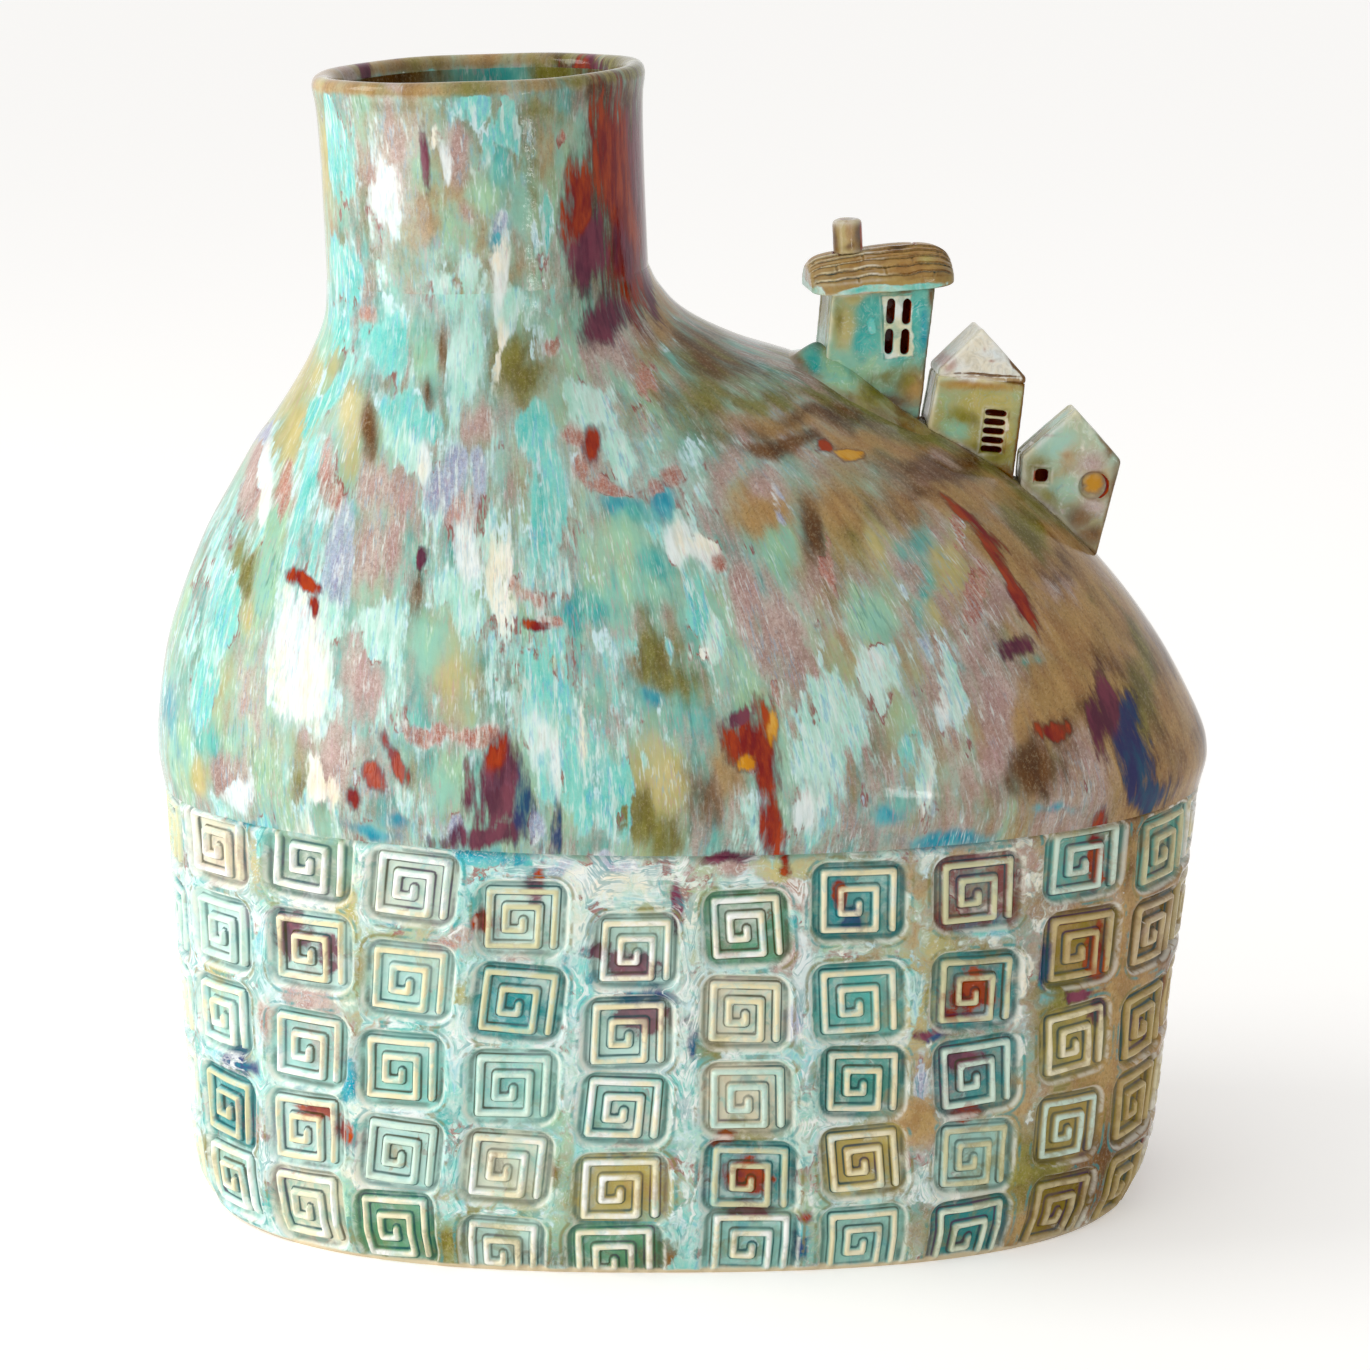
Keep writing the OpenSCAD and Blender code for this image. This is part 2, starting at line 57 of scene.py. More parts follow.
def softNoise(points, size, seed, octaves=3):
    # value noise from 0 to 1, features about as wide as size
    total, weight = np.zeros(len(points)), 0.0
    for octave in range(octaves):
        p = points / (size / 2 ** octave) + 31.7 * octave
        cell = np.floor(p).astype(np.int64)
        f = p - cell
        f = f * f * (3 - 2 * f)
        value = np.zeros(len(points))
        for corner in product((0, 1), repeat=3):
            mixed = (cell + np.array(corner)) @ hashSteps + (seed + octave) * hashTurn
            mixed = (mixed ^ (mixed >> 13)) * hashTurn
            mixed = (mixed ^ (mixed >> 16)) & 65535
            value += mixed / 65535 * np.prod(np.where(corner, f, 1 - f), axis=1)
        total += value * 0.5 ** octave
        weight += 0.5 ** octave
    return total / weight


def tone(code):
    # sRGB hex to the linear colour that a socket takes
    parts = [int(code[i:i + 2], 16) / 255 for i in (0, 2, 4)]
    return tuple(p / 12.92 if p <= 0.04045 else ((p + 0.055) / 1.055) ** 2.4 for p in parts) + (1.0,)


def makeObject(name, points, faces):
    mesh = bpy.data.meshes.new(name)
    mesh.from_pydata((np.asarray(points) * mm).tolist(), [], [tuple(map(int, f)) for f in faces])
    mesh.polygons.foreach_set("use_smooth", [True] * len(mesh.polygons))
    mesh.update()
    mesh.set_sharp_from_angle(angle=math.radians(50))
    return addObject(name, mesh)


def addObject(name, data):
    made = bpy.data.objects.new(name, data)
    scene.collection.objects.link(made)
    return made


def evaluatedMesh(piece):
    bpy.context.view_layer.update()
    return bpy.data.meshes.new_from_object(piece.evaluated_get(bpy.context.evaluated_depsgraph_get()))


def store(mesh, name, values):
    values = np.asarray(values, dtype=np.float32)
    kind = "FLOAT_VECTOR" if values.ndim == 2 else "FLOAT"
    layer = mesh.attributes.get(name) or mesh.attributes.new(name, kind, "POINT")
    layer.data.foreach_set("vector" if values.ndim == 2 else "value", values.ravel())


def readVectors(source, label):
    values = np.zeros(len(source) * 3)
    source.foreach_get(label, values)
    return values.reshape(-1, 3)


def chainFaces(rings, count, closedRound, closedChain):
    # quads between neighbouring rings of count points
    i = np.arange(rings if closedChain else rings - 1)[:, None]
    j = np.arange(count if closedRound else count - 1)[None, :]
    i2, j2 = (i + 1) % rings, (j + 1) % count
    quads = [i * count + j, i2 * count + j, i2 * count + j2, i * count + j2]
    return np.stack(quads, -1).reshape(-1, 4)


# Body form, in millimetres, as the part's source gives it

bodyForm = {
    "beltHalf": (132.5, 70.0), "beltSquare": 2.05, "beltHeight": 108.0,
    "footHalf": (124.5, 69.0), "footSquare": 2.5, "footShift": -3.0,
    "footCurve": 16.0, "footDraw": 4.5, "floor": 8.0, "wall": 6.0,
    "neckRadius": 39.7, "neckWall": 5.0, "neckX": -48.2, "neckJoint": 238.0,
    "neckLength": 49.6, "neckLean": 2.0, "ridgeSharpness": 3.0,
}
# fall of the shoulder from the neck joint to the belt: share of the way out, share of the height
ridgeProfile = np.array([
    (0, 1), (0.02, 0.958), (0.065, 0.911), (0.16, 0.862), (0.3, 0.811), (0.46, 0.718), (0.63, 0.608),
    (0.79, 0.452), (0.907, 0.295), (0.988, 0.14), (1.01, 0.065), (1, 0)])
leftProfile = np.array([
    (0, 1), (0.02, 0.925), (0.1, 0.857), (0.2, 0.796), (0.31, 0.738), (0.43, 0.68), (0.57, 0.597),
    (0.72, 0.505), (0.86, 0.385), (0.965, 0.265), (1.03, 0.095), (1, 0)])
frontProfile = np.array([
    (0, 1), (0.02, 0.93), (0.1, 0.87), (0.2, 0.805), (0.32, 0.74), (0.45, 0.66), (0.6, 0.56),
    (0.75, 0.44), (0.88, 0.32), (0.98, 0.18), (1.03, 0.07), (1, 0)])


def oval(half, square, turn, inset=0.0, draw=0.0):
    c, s = np.cos(turn), np.sin(turn)
    x = (half[0] - inset - draw) * np.sign(c) * np.abs(c) ** (2 / square)
    y = (half[1] - inset) * np.sign(s) * np.abs(s) ** (2 / square)
    return np.stack([x, y], -1)


def beltOval(turn, inset=0.0):
    return oval(bodyForm["beltHalf"], bodyForm["beltSquare"], turn, inset)


def wallPoint(turn, height, inset=0.0):
    levels = np.array([0, bodyForm["floor"], bodyForm["footCurve"], bodyForm["beltHeight"]])
    draws = bodyForm["footDraw"] * (1 - np.minimum(levels / bodyForm["footCurve"], 1)) ** 2
    draw = np.interp(height, levels, draws)
    foot = oval(bodyForm["footHalf"], bodyForm["footSquare"], turn, inset, draw)
    foot = foot + (bodyForm["footShift"], 0)
    up = (height / bodyForm["beltHeight"])[..., None]
    flat = foot * (1 - up) + beltOval(turn, inset) * up
    return np.concatenate([flat, height[..., None] + 0 * flat[..., :1]], -1)


def curveAt(profile, t):
    i = np.minimum(np.floor(t).astype(int), len(profile) - 2)
    f = (t - i)[:, None]
    b, c = profile[i], profile[i + 1]
    a = np.where((i > 0)[:, None], profile[np.maximum(i - 1, 0)], 2 * b - c)
    after = profile[np.minimum(i + 2, len(profile) - 1)]
    d = np.where((i + 2 < len(profile))[:, None], after, 2 * c - b)
    square, cube = 2 * a - 5 * b + 4 * c - d, 3 * b - a - 3 * c + d
    return 0.5 * (2 * b + (c - a) * f + square * f ** 2 + cube * f ** 3)


def neckRing(radius, bearing):
    lean = math.radians(bodyForm["neckLean"])
    out = radius * np.cos(bearing)
    return np.stack([bodyForm["neckX"] + out * math.cos(lean), radius * np.sin(bearing),
                     bodyForm["neckJoint"] + out * math.sin(lean)], -1)


def beltBearing(belt):
    # direction of each belt point, seen from the neck's middle
    return np.arctan2(belt[:, 1], belt[:, 0] - bodyForm["neckX"])


def shoulderRings(steps, turn):
    # outer surface, rings counted down from the neck joint to the belt
    belt = beltOval(turn)
    bearing = beltBearing(belt)
    start = neckRing(bodyForm["neckRadius"], bearing)
    towards = np.cos(bearing)
    ridge = np.maximum(towards, 0) ** bodyForm["ridgeSharpness"]
    left = np.minimum(towards, 0) ** 2
    parts = [curveAt(p, steps)[:, None, :] * share[None, :, None] for p, share in
             ((ridgeProfile, ridge), (leftProfile, left), (frontProfile, 1 - ridge - left))]
    p = parts[0] + parts[1] + parts[2]
    flat = start[None, :, :2] + (belt - start[:, :2])[None] * p[..., :1]
    height = bodyForm["beltHeight"] + (start[None, :, 2] - bodyForm["beltHeight"]) * p[..., 1]
    return np.concatenate([flat, height[..., None]], -1)


def ridgeHeight(x):
    line = shoulderRings(np.linspace(0, 9, 28), np.zeros(1))[:, 0]
    return float(np.interp(x, line[:, 0], line[:, 2]))


# Glaze map: brush strokes and runs, each (x, z, half width, half height) in millimetres on the front view,
# with a fifth number for its sideways drift per millimetre of fall

glazeLayers = {
    "base": ["celadon", "teal", "blue", "olive", "ochre", "umber", "tan", "mauve"],
    "milk": ["aqua", "mint", "white", "lilac", "salmon", "cream"],
    "accent": ["red", "plum", "navy", "gold"],
}
glazeKinds = [kind for kinds in glazeLayers.values() for kind in kinds]
glazeColumn = {kind: column for column, kind in enumerate(glazeKinds)}
milkColumns = [glazeColumn[kind] for kind in glazeLayers["milk"]]
glazeTones = {
    "celadon": ("98c6b2", "a9cca8"), "teal": ("4fa6a2", "74bcb0"), "blue": ("3288a0", "66b2ba"),
    "olive": ("827c40", "665e2c"), "ochre": ("c6ba88", "b2a66e"), "umber": ("6e4a2a", "50311a"),
    "tan": ("b59468", "a17d58"), "aqua": ("86d2c6", "58bcb4"), "mint": ("a8dcca", "cdeae0"),
    "white": ("eef2ee", "dfe8e8"), "lilac": ("a7aec4", "8f90ad"), "mauve": ("ab8d86", "c0aaa1"),
    "salmon": ("b98474", "9c5a4c"), "cream": ("f0e6cc", "f8f3e6"), "red": ("75131a", "a8401f"),
    "plum": ("4f1c34", "74394a"), "navy": ("22295a", "1a4a68"), "gold": ("c98634", "deb066"),
}
bodyStrokes = {
    "aqua": [(-84, 268, 5, 20), (-83, 238, 6, 12), (-52, 281, 9, 8), (-44, 274, 7, 10), (-33, 254, 2.5, 14),
        (-85, 224, 4, 9), (-89, 204, 5, 14, -0.7), (-73, 225, 9, 10), (-66, 211, 11, 7), (-35, 203, 7, 9),
        (-91, 189, 3.5, 14, -0.4), (-33, 188, 8, 14), (-113, 157, 7, 15), (-33, 151, 10, 15),
        (-119, 140, 5, 14), (-24, 128, 8, 20), (-33, 131, 6, 16), (-15, 121, 7, 13), (52, 131, 5, 15),
        (-66, 70, 15, 17), (-66, 48, 14, 12), (-40, 66, 13, 11), (-104, 103, 4, 8), (-6, 51, 10, 6),
        (-25, 74, 5, 15), (17, 68, 11, 9), (44, 50, 10, 9), (54, 80, 6, 8), (3, 163, 6, 11),
        (-40, 30, 8, 8), (75, 84, 10, 3)],
    "mint": [(-54, 240, 7, 17), (-53, 221, 6, 15), (-43, 234, 4, 13), (-68, 203, 7, 9), (-54, 165, 6, 10),
        (-16, 199, 7, 6), (-85, 160, 5, 9), (34, 138, 8, 22), (46, 152, 12, 14), (64, 145, 7, 20),
        (45, 96, 9, 9), (56, 68, 4, 15), (-72, 160, 6, 12), (-36, 140, 7, 14), (8, 160, 5, 10),
        (57, 122, 4, 10), (-68, 30, 12, 9), (70, 27, 10, 7), (-22, 208, 10, 8), (20, 56, 12, 4)],
    "teal": [(-45, 268, 4, 7), (-12, 186, 8, 5), (-7, 172, 7, 9), (-21, 167, 7, 7), (55, 182, 5, 7),
        (57, 170, 2.2, 14), (84, 148, 6, 3), (45, 71, 9, 9), (72, 97, 12, 10), (93, 97, 5, 9),
        (-118, 129, 6, 8), (44, 48, 8, 7), (-26, 168, 5, 4), (50, 116, 7, 7), (-40, 47, 9, 7),
        (-95, 12, 15, 8)],
    "blue": [(-15, 188.5, 7, 2.5), (-6, 191, 3, 6), (-66, 117, 6, 3), (-74, 112, 9, 2.5), (-52, 106, 16, 3),
        (47, 113, 5, 3), (90, 112, 9, 2), (36, 96, 2, 9), (-14, 76, 9, 2.5), (-70, 90, 7, 3),
        (-128, 128, 4, 9), (72, 86, 9, 2.5), (90, 64, 5, 3), (-7, 145, 4, 3), (28, 9, 4, 6),
        (-82, 47, 4, 6), (-46, 252, 3, 6), (-24, 169, 4, 3), (64, 107, 14, 2.5), (-110, 107, 8, 2)],
    "lilac": [(-82, 177, 5, 15), (-60, 193, 4.5, 11), (-49, 193, 3, 8), (25, 186, 3, 11), (-55, 197, 5, 8),
        (-46, 253, 4, 5), (-84, 165, 4, 8), (-36, 116, 3, 9), (-54, 115, 4, 6), (107, 126, 2, 8),
        (27, 66, 3, 6), (-114, 46, 6, 4), (58, 48, 2.5, 9), (-30, 104, 6, 3), (-16, 104, 6, 3),
        (-106, 196, 4, 10)],
    "mauve": [(-70, 268, 12, 20), (-70, 287, 12, 3), (-55, 270, 5, 11), (-49, 205, 6, 8),
        (-108, 190, 6, 17), (-73, 194, 8, 10), (-74, 177, 8, 16), (-107, 139, 9, 16), (-77, 148, 8, 13),
        (-113, 122, 10, 9), (-84, 128, 12, 13), (-113, 98, 12, 11), (-91, 67, 11, 9), (-91, 54, 11, 9),
        (-110, 31, 9, 8), (11, 196, 9, 9), (20, 191, 9, 7), (17, 165, 8, 13), (25, 158, 9, 12),
        (33, 166, 5, 15), (-20, 224, 7, 9), (74, 160, 5, 7), (91, 160, 8, 11), (75, 138, 7, 10),
        (76, 127, 7, 8), (70, 48, 8, 6), (116, 75, 7, 10), (118, 54, 7, 10), (118, 150, 6, 12),
        (8, 83, 7, 4), (26, 82, 7, 6), (-42, 83, 11, 4), (9, 105, 10, 4), (-14, 222, 8, 9),
        (-52, 257, 3, 5), (104, 148, 6, 9), (62, 193, 8, 4)],
    "salmon": [(-77, 230, 3, 4), (-30, 273, 2.5, 5), (-98, 188, 5, 8), (-85, 193, 4, 9), (-26, 201, 4, 4),
        (-24, 195, 2.5, 5), (-17, 191.5, 7, 2), (-7, 193.5, 2.5, 4), (-4, 198, 3, 4), (-36, 172, 6, 2.5),
        (-29, 167, 5, 2.5), (-58, 138, 9, 3.5), (-50, 139, 5, 3), (-54, 187, 5, 5), (-31, 224, 3, 5),
        (-47, 126, 2, 8), (17, 133, 5, 4), (24, 147, 2, 6), (66, 178, 5, 7), (69, 165, 5, 10),
        (9, 176, 4, 3), (36, 172, 3, 12), (-55, 85, 8, 5), (26, 99, 8, 8), (-104, 55, 3, 9),
        (120, 126, 5, 12), (-8, 215, 5, 12)],
    "cream": [(-60, 273, 2, 5), (-58, 264, 2, 8), (-46, 246, 4, 10), (-44, 222, 2.5, 13), (-44, 172, 6, 13),
        # the cream stroke at (-93, 148) is milky glaze with a painted highlight of the window's reflection
        (-104, 187, 2, 9), (-93, 148, 8, 18), (-92, 96, 13, 13), (-1, 181, 3, 8), (5, 179, 5, 5),
        (4, 155, 5, 3), (-40, 93, 11, 9), (-20, 101, 14, 6), (15, 90, 9, 8), (-12, 42, 9, 7),
        (14, 46, 6, 5), (76, 61, 8, 3), (82, 72, 3, 10), (58, 121, 1.6, 9), (-85, 60, 8, 5),
        (-80, 22, 7, 5), (-88, 122, 8, 8), (-64, 200, 2, 8), (-30, 140, 2, 16), (-22, 134, 2, 14)],
    "ochre": [(-86, 286, 4, 3), (-87, 263, 1.8, 11), (62, 175, 6, 9), (48, 183, 6, 7),
        (-94, 211, 6, 14, -0.6), (-96, 198, 6, 9, -0.4), (-57, 148, 5, 11), (-4, 131, 8, 13),
        (5, 147, 3, 4), (-83, 89, 4, 8), (-12, 22, 9, 7), (42, 28, 8, 8), (57, 37, 3, 5), (98, 77, 5, 5),
        (-106, 97, 2, 8), (24, 104, 7, 4), (-80, 205, 5, 9), (-106, 156, 2.5, 6), (-121, 119, 4, 6),
        (-70, 31, 8, 6), (-116, 66, 4, 8)],
    "olive": [(84, 20, 14, 14), (92, 64, 7, 11), (104, 44, 10, 16), (-30, 288.5, 20, 3),
        (20, 213, 12, 4, 1.5), (56, 204, 12, 4, 1.6), (90, 178, 9, 6, 1), (-33, 279, 9, 8),
        (-27, 287, 17, 3), (-36, 256, 2.2, 15), (-40, 219, 5, 9), (-37, 214, 6, 6), (40, 209, 14, 6, 2),
        (60, 201, 12, 6, 1.5), (78, 190, 10, 6, 1.2), (96, 172, 8, 9, 1), (43, 185, 7, 10), (0, 149, 11, 9),
        (100, 157, 7, 11), (112, 140, 6, 15), (-8, 118, 6, 9), (96, 52, 9, 10), (95, 30, 10, 10),
        (72, 8, 13, 7), (-60, 8, 20, 8), (16, 6, 11, 5), (14, 38, 11, 4), (-118, 14, 9, 9), (6, 59, 7, 3),
        (-14, 87, 7, 5), (-63, 127, 4, 9), (-22, 38, 5, 6), (-108, 168, 5, 8), (86, 173, 9, 8),
        (5, 217, 8, 12)],
    "umber": [(-15, 262, 17, 36), (120, 62, 7, 36), (110, 20, 10, 12), (-11, 262, 12, 32),
        (30, 206, 22, 4, 2), (62, 192, 16, 4, 1.6), (-22, 283, 13, 5), (-11, 274, 7, 15), (5, 222, 12, 10),
        (-62, 217, 1.6, 6), (-58.5, 226, 1.2, 6), (-62.5, 165, 2.3, 12), (33, 178, 4, 11),
        (26, 200, 12, 3, 2), (58, 188, 10, 4, 1.6), (-12, 284, 7, 5), (-9, 262, 3, 20),
        (70, 193, 10, 4, 1.4), (88, 166, 7, 6, 1), (104, 150, 7, 9, 0.6), (94, 134, 9, 7), (82, 123, 8, 6),
        (122, 138, 9, 19), (128, 120, 8, 13), (5, 126, 7, 15), (118, 99, 9, 12), (116, 34, 11, 17),
        (112, 11, 12, 10), (96, 10, 10, 8), (-10, 5, 11, 5), (-46, 28, 3, 5), (-33, 26, 2.5, 6),
        (-38, 5, 9, 4), (-76, 205, 2, 6)],
    "red": [(-14, 258, 6, 26), (-18, 266, 8, 20), (-27, 258, 3, 12), (-91, 165, 3.5, 3, 1),
        (-89, 159, 1.2, 3), (-67, 130, 3.5, 4, 0.8), (-73, 125, 3, 4, 0.8), (-79, 120, 3, 3),
        (-47, 131, 3, 8), (16, 138, 7, 6), (22, 134, 4, 12), (23, 117, 3.2, 10), (25, 106, 1.8, 6),
        (34.5, 197, 1.8, 1.8), (71, 177, 1.8, 8, 1), (77, 168, 1.8, 8, 0.8), (81, 161, 2.2, 6, 0.6),
        (88, 132, 4, 2.5), (-83, 32, 5, 6), (-91, 36, 7, 3), (15, 25, 8, 6), (7, 36, 6, 2.2),
        (70, 68, 8, 7), (70, 37, 6, 2.5), (102, 97, 3, 11), (37, 97, 2, 5), (103, 72, 4, 9),
        (-34, 166, 4, 1.6), (-22, 199, 2, 4), (30, 14, 4, 3), (-49, 88, 4, 4), (-35, 102, 3, 5)],
    "plum": [(-11, 264, 4, 22), (-62.5, 270, 1.2, 8), (-24, 247, 5, 9), (-15, 249, 5, 12),
        (-9, 245, 2.5, 15), (-19, 230, 5, 7), (-46, 124, 6.5, 13), (-47, 112, 10, 4), (-62.5, 175, 1.5, 3),
        (15, 143, 5, 2), (103, 133, 4.5, 13), (-97, 82, 6, 7), (-88, 78, 4, 5), (-13, 80, 7, 4),
        (-10, 67, 10, 4), (-36, 100, 3, 6), (-3, 97, 2, 11), (10, 107, 9, 2.2), (16, 16, 9, 3),
        (70, 50, 6, 4), (98, 63, 7, 2.5), (104, 60, 3, 5), (-22, 83, 5, 3), (80, 152, 4, 2.5),
        (60, 60, 6, 2.5)],
    "navy": [(-40, 121, 3, 12), (-30, 115, 1.5, 8), (110, 123, 6, 12), (114, 114, 6, 6), (-10, 73, 9, 3),
        (0, 62, 2, 8), (-111, 44, 7, 4), (62, 59, 5, 2.5), (88, 72, 3, 8), (29, 6, 3, 6), (40, 91, 3, 4),
        (110, 134, 4, 9)],
    # the white strokes at (-93, 150) and (-72, 262) are milky glaze with painted highlights of the window's
    # reflection
    "white": [(-93, 150, 8, 19), (-104, 187, 3, 10), (-64, 201, 3, 9), (-92, 96, 12, 12), (-91, 54, 11, 10),
        (-110, 120, 8, 9), (-36, 140, 5, 13), (-1, 180, 4, 9), (6, 178, 5, 5), (-38, 93, 10, 7),
        (-20, 101, 13, 5), (15, 90, 8, 8), (44, 152, 7, 12), (-12, 42, 8, 6), (-84, 74, 8, 7),
        (-113, 82, 7, 7), (-57, 268, 3, 10), (-72, 262, 8, 18), (-30, 134, 3, 17), (-52, 178, 4, 14),
        (-45, 240, 3, 14), (30, 120, 3, 9), (76, 62, 9, 5), (-66, 40, 7, 5), (45, 40, 8, 4),
        (-24, 58, 4, 12), (29, 78, 4, 14), (24, 188, 2.5, 12), (62, 140, 4, 16)],
    "tan": [(112, 66, 8, 22), (105, 40, 8, 14), (-60, 288.5, 22, 3), (22, 206, 17, 6, 2),
        (46, 198, 17, 6, 2), (66, 185, 15, 7, 1.6), (82, 170, 14, 9, 1.2), (97, 155, 12, 12, 0.8),
        (107, 140, 8, 12), (123, 136, 8, 18), (128, 118, 7, 12), (118, 98, 9, 10), (116, 40, 10, 16),
        (20, 186, 11, 8), (90, 139, 11, 9), (-8, 226, 7, 12), (40, 186, 6, 9), (98, 76, 6, 9),
        (57, 37, 5, 7), (-12, 22, 9, 6), (42, 28, 8, 6), (10, 128, 7, 14), (-70, 30, 8, 6),
        (-118, 14, 8, 8), (-10, 260, 4, 14)],
    "bare": [(-15, 260, 18, 38), (-48, 288.5, 46, 4), (30, 209, 32, 9, 1.8), (62, 196, 30, 11, 1.5),
        (92, 168, 22, 18, 1), (112, 145, 16, 22, 0.6), (124, 128, 12, 26), (-14, 258, 12, 34),
        (-27, 285, 22, 5), (118, 98, 10, 14), (116, 36, 12, 26), (98, 46, 14, 22), (84, 16, 16, 14),
        (-10, 166, 9, 12), (4, 126, 8, 20), (8, 218, 14, 12), (-60, 8, 30, 7), (60, 8, 40, 7)],
    "gold": [(40, 196, 3.5, 1.6), (17, 133, 3.5, 3), (24, 140, 1.5, 6), (-47, 126, 1.6, 7)],
    "celadon": [(-12, 180, 9, 9), (-62, 226, 6, 9), (-90, 222, 5, 8), (-10, 168, 10, 8), (45, 166, 9, 12),
        (-56, 128, 6, 9), (25, 176, 4, 9), (-48, 262, 6, 5), (-90, 12, 16, 9), (-60, 155, 5, 10),
        (-38, 47, 9, 6)],
}
brushMake = {
    # a stroke's strength, and where it has faded out, in half sizes
    "gain": 1.75, "edge": 1.05, "unpainted": -1.3, "least": -1.5,
    # size and strength of the patches that no stroke places
    "patch": 26.0, "patchReach": 0.9, "patchStretch": 0.5,
    # width of the waves that make a stroke waver sideways and up, and how they are drawn out downwards
    "waver": (22, 15), "waverStretch": 0.35,
    # where the milky glaze stays off, and how much it loses there
    "bareEdge": (1.2, 0.5), "bareReach": 1.1,
    # from where to where the back begins, and the ridge side's warmer glazes set in, with their share
    "behind": (-10, 25), "warm": ((0, 110, 1.0), (80, 122, 0.7)),
}
# what gains and loses ground towards the ridge side
warmShift = {"tan": 1.1, "umber": 0.75, "olive": 0.5, "ochre": 0.3, "celadon": -0.5, "teal": -0.6,
             "mauve": 0.5, "salmon": 0.35, "aqua": -0.6, "mint": -0.35, "white": -0.4}


def strokeGap(x, z, stroke):
    # 0 at the middle of a stroke, 1 at its half sizes
    sx, sz, halfW, halfH = stroke[:4]
    drift = stroke[4] if len(stroke) > 4 else 0.0
    return np.hypot((x - sx + drift * (z - sz)) / halfW, (z - sz) / halfH)


def paintFields(points, strokes, seed, shares, backWarp=15.0, drip=6.0):
    # how strongly each glaze covers each point; the back takes the front's zones, shifted
    behind = smoothStep(*brushMake["behind"], points[:, 1])
    reach = drip + behind * backWarp
    flow, (waveX, waveZ) = points * (1, 1, brushMake["waverStretch"]), brushMake["waver"]
    x = points[:, 0] + 0.7 * backWarp * behind + reach * 2 * (softNoise(flow, waveX, seed) - 0.5)
    z = points[:, 2] - backWarp * behind + reach * 3 * (softNoise(flow, waveZ, seed + 7) - 0.5)
    drawn = points * (1, 1, brushMake["patchStretch"])
    fields = np.full((len(points), len(glazeKinds)), brushMake["unpainted"])
    for kind, column in glazeColumn.items():
        if kind in shares:
            patches = softNoise(drawn, brushMake["patch"], seed + 11 + column) - 0.5
            fields[:, column] = shares[kind] + brushMake["patchReach"] * patches
        for stroke in strokes.get(kind, []):
            strength = brushMake["gain"] * (brushMake["edge"] - strokeGap(x, z, stroke))
            fields[:, column] = np.maximum(fields[:, column], strength)
    if strokes is bodyStrokes:
        warm = sum(share * smoothStep(low, high, x) for low, high, share in brushMake["warm"])
        for kind, shift in warmShift.items():
            fields[:, glazeColumn[kind]] += shift * warm
    bare = np.zeros(len(points))
    for stroke in strokes.get("bare", []):
        bare = np.maximum(bare, smoothStep(*brushMake["bareEdge"], strokeGap(x, z, stroke)))
    fields[:, milkColumns] -= brushMake["bareReach"] * bare[:, None]
    return np.maximum(fields, brushMake["least"])


def storeFields(mesh, fields):
    for part in range(0, len(glazeKinds), 3):
        store(mesh, "glaze%d" % (part // 3), fields[:, part:part + 3])


bodySeed = 3
bodyShares = {"celadon": 0.15, "teal": 0.1, "olive": -0.8, "ochre": -0.9, "tan": -0.7,
              "aqua": 0.2, "mint": 0.2, "white": -0.05, "mauve": 0.1, "lilac": -0.2}
wallShares = {"celadon": 0.0, "teal": 0.15, "blue": -0.4, "olive": -0.7, "ochre": -0.5, "tan": -0.5,
              "aqua": 0.5, "mint": 0.25, "white": 0.45, "cream": 0.2, "mauve": -0.4}


# Node helpers

class NodeMaker:
    # adds nodes to one tree; among shares, a tuple stands for what ramp takes

    def __init__(self, tree):
        self.tree = tree

    def node(self, kind, inputs=None, **settings):
        made = self.tree.nodes.new(kind)
        for key, value in settings.items():
            setattr(made, key, value)
        for key, value in (inputs or {}).items():
            if isinstance(value, bpy.types.NodeSocket):
                self.tree.links.new(value, made.inputs[key])
            else:
                made.inputs[key].default_value = value
        return made

    def add(self, kind, inputs=None, **settings):
        return self.node(kind, inputs, **settings).outputs

    def calc(self, operation, a, b=0.0, c=0.0, clamp=False):
        return self.add("ShaderNodeMath", {0: a, 1: b, 2: c}, operation=operation, use_clamp=clamp)[0]

    def vector(self, operation, inputs):
        return self.add("ShaderNodeVectorMath", inputs, operation=operation)[0]

    def scaled(self, vector, scale):
        return self.vector("SCALE", {0: vector, "Scale": scale})

    def ramp(self, value, low, high, toLow=0.0, toHigh=1.0):
        inputs = {"Value": value, "From Min": low, "From Max": high, "To Min": toLow, "To Max": toHigh}
        return self.add("ShaderNodeMapRange", inputs, interpolation_type="SMOOTHSTEP")[0]

    def times(self, *shares):
        shares = [self.ramp(*share) if isinstance(share, tuple) else share for share in shares]
        amount = shares[0]
        for share in shares[1:]:
            amount = self.calc("MULTIPLY", amount, share)
        return amount

    def rest(self, value):
        return self.calc("SUBTRACT", 1.0, value)

    def blend(self, share, a, b, mode="MIX"):
        inputs = {0: self.times(share), 6: a, 7: b}
        return self.add("ShaderNodeMix", inputs, data_type="RGBA", blend_type=mode)[2]

    def paint(self, colour, label, *shares, mode="MIX"):
        # lays a mark over a colour, as strongly as its shares multiply to
        return self.blend(self.times(*shares), colour, mark(label), mode)

    def attribute(self, name, output="Fac"):
        return self.add("ShaderNodeAttribute", attribute_name=name)[output]

    def noise(self, vector, scales, detail=3.0, rough=0.6, shift=(0, 0, 0)):
        place = self.vector("MULTIPLY_ADD", {0: vector, 1: scales, 2: shift})
        inputs = {"Vector": place, "Scale": 1.0, "Detail": detail, "Roughness": rough}
        return self.add("ShaderNodeTexNoise", inputs)

    def channels(self, colour):
        return list(self.add("ShaderNodeSeparateColor", {0: colour}))

    def nudge(self, noise, reach, value):
        # moves a value by noise, up to half the reach either way
        return self.calc("MULTIPLY_ADD", self.calc("SUBTRACT", noise, 0.5), reach, value)


# Glaze material: a clear base glaze, a milky glaze with a ragged fringe over it, and crisp accents on top

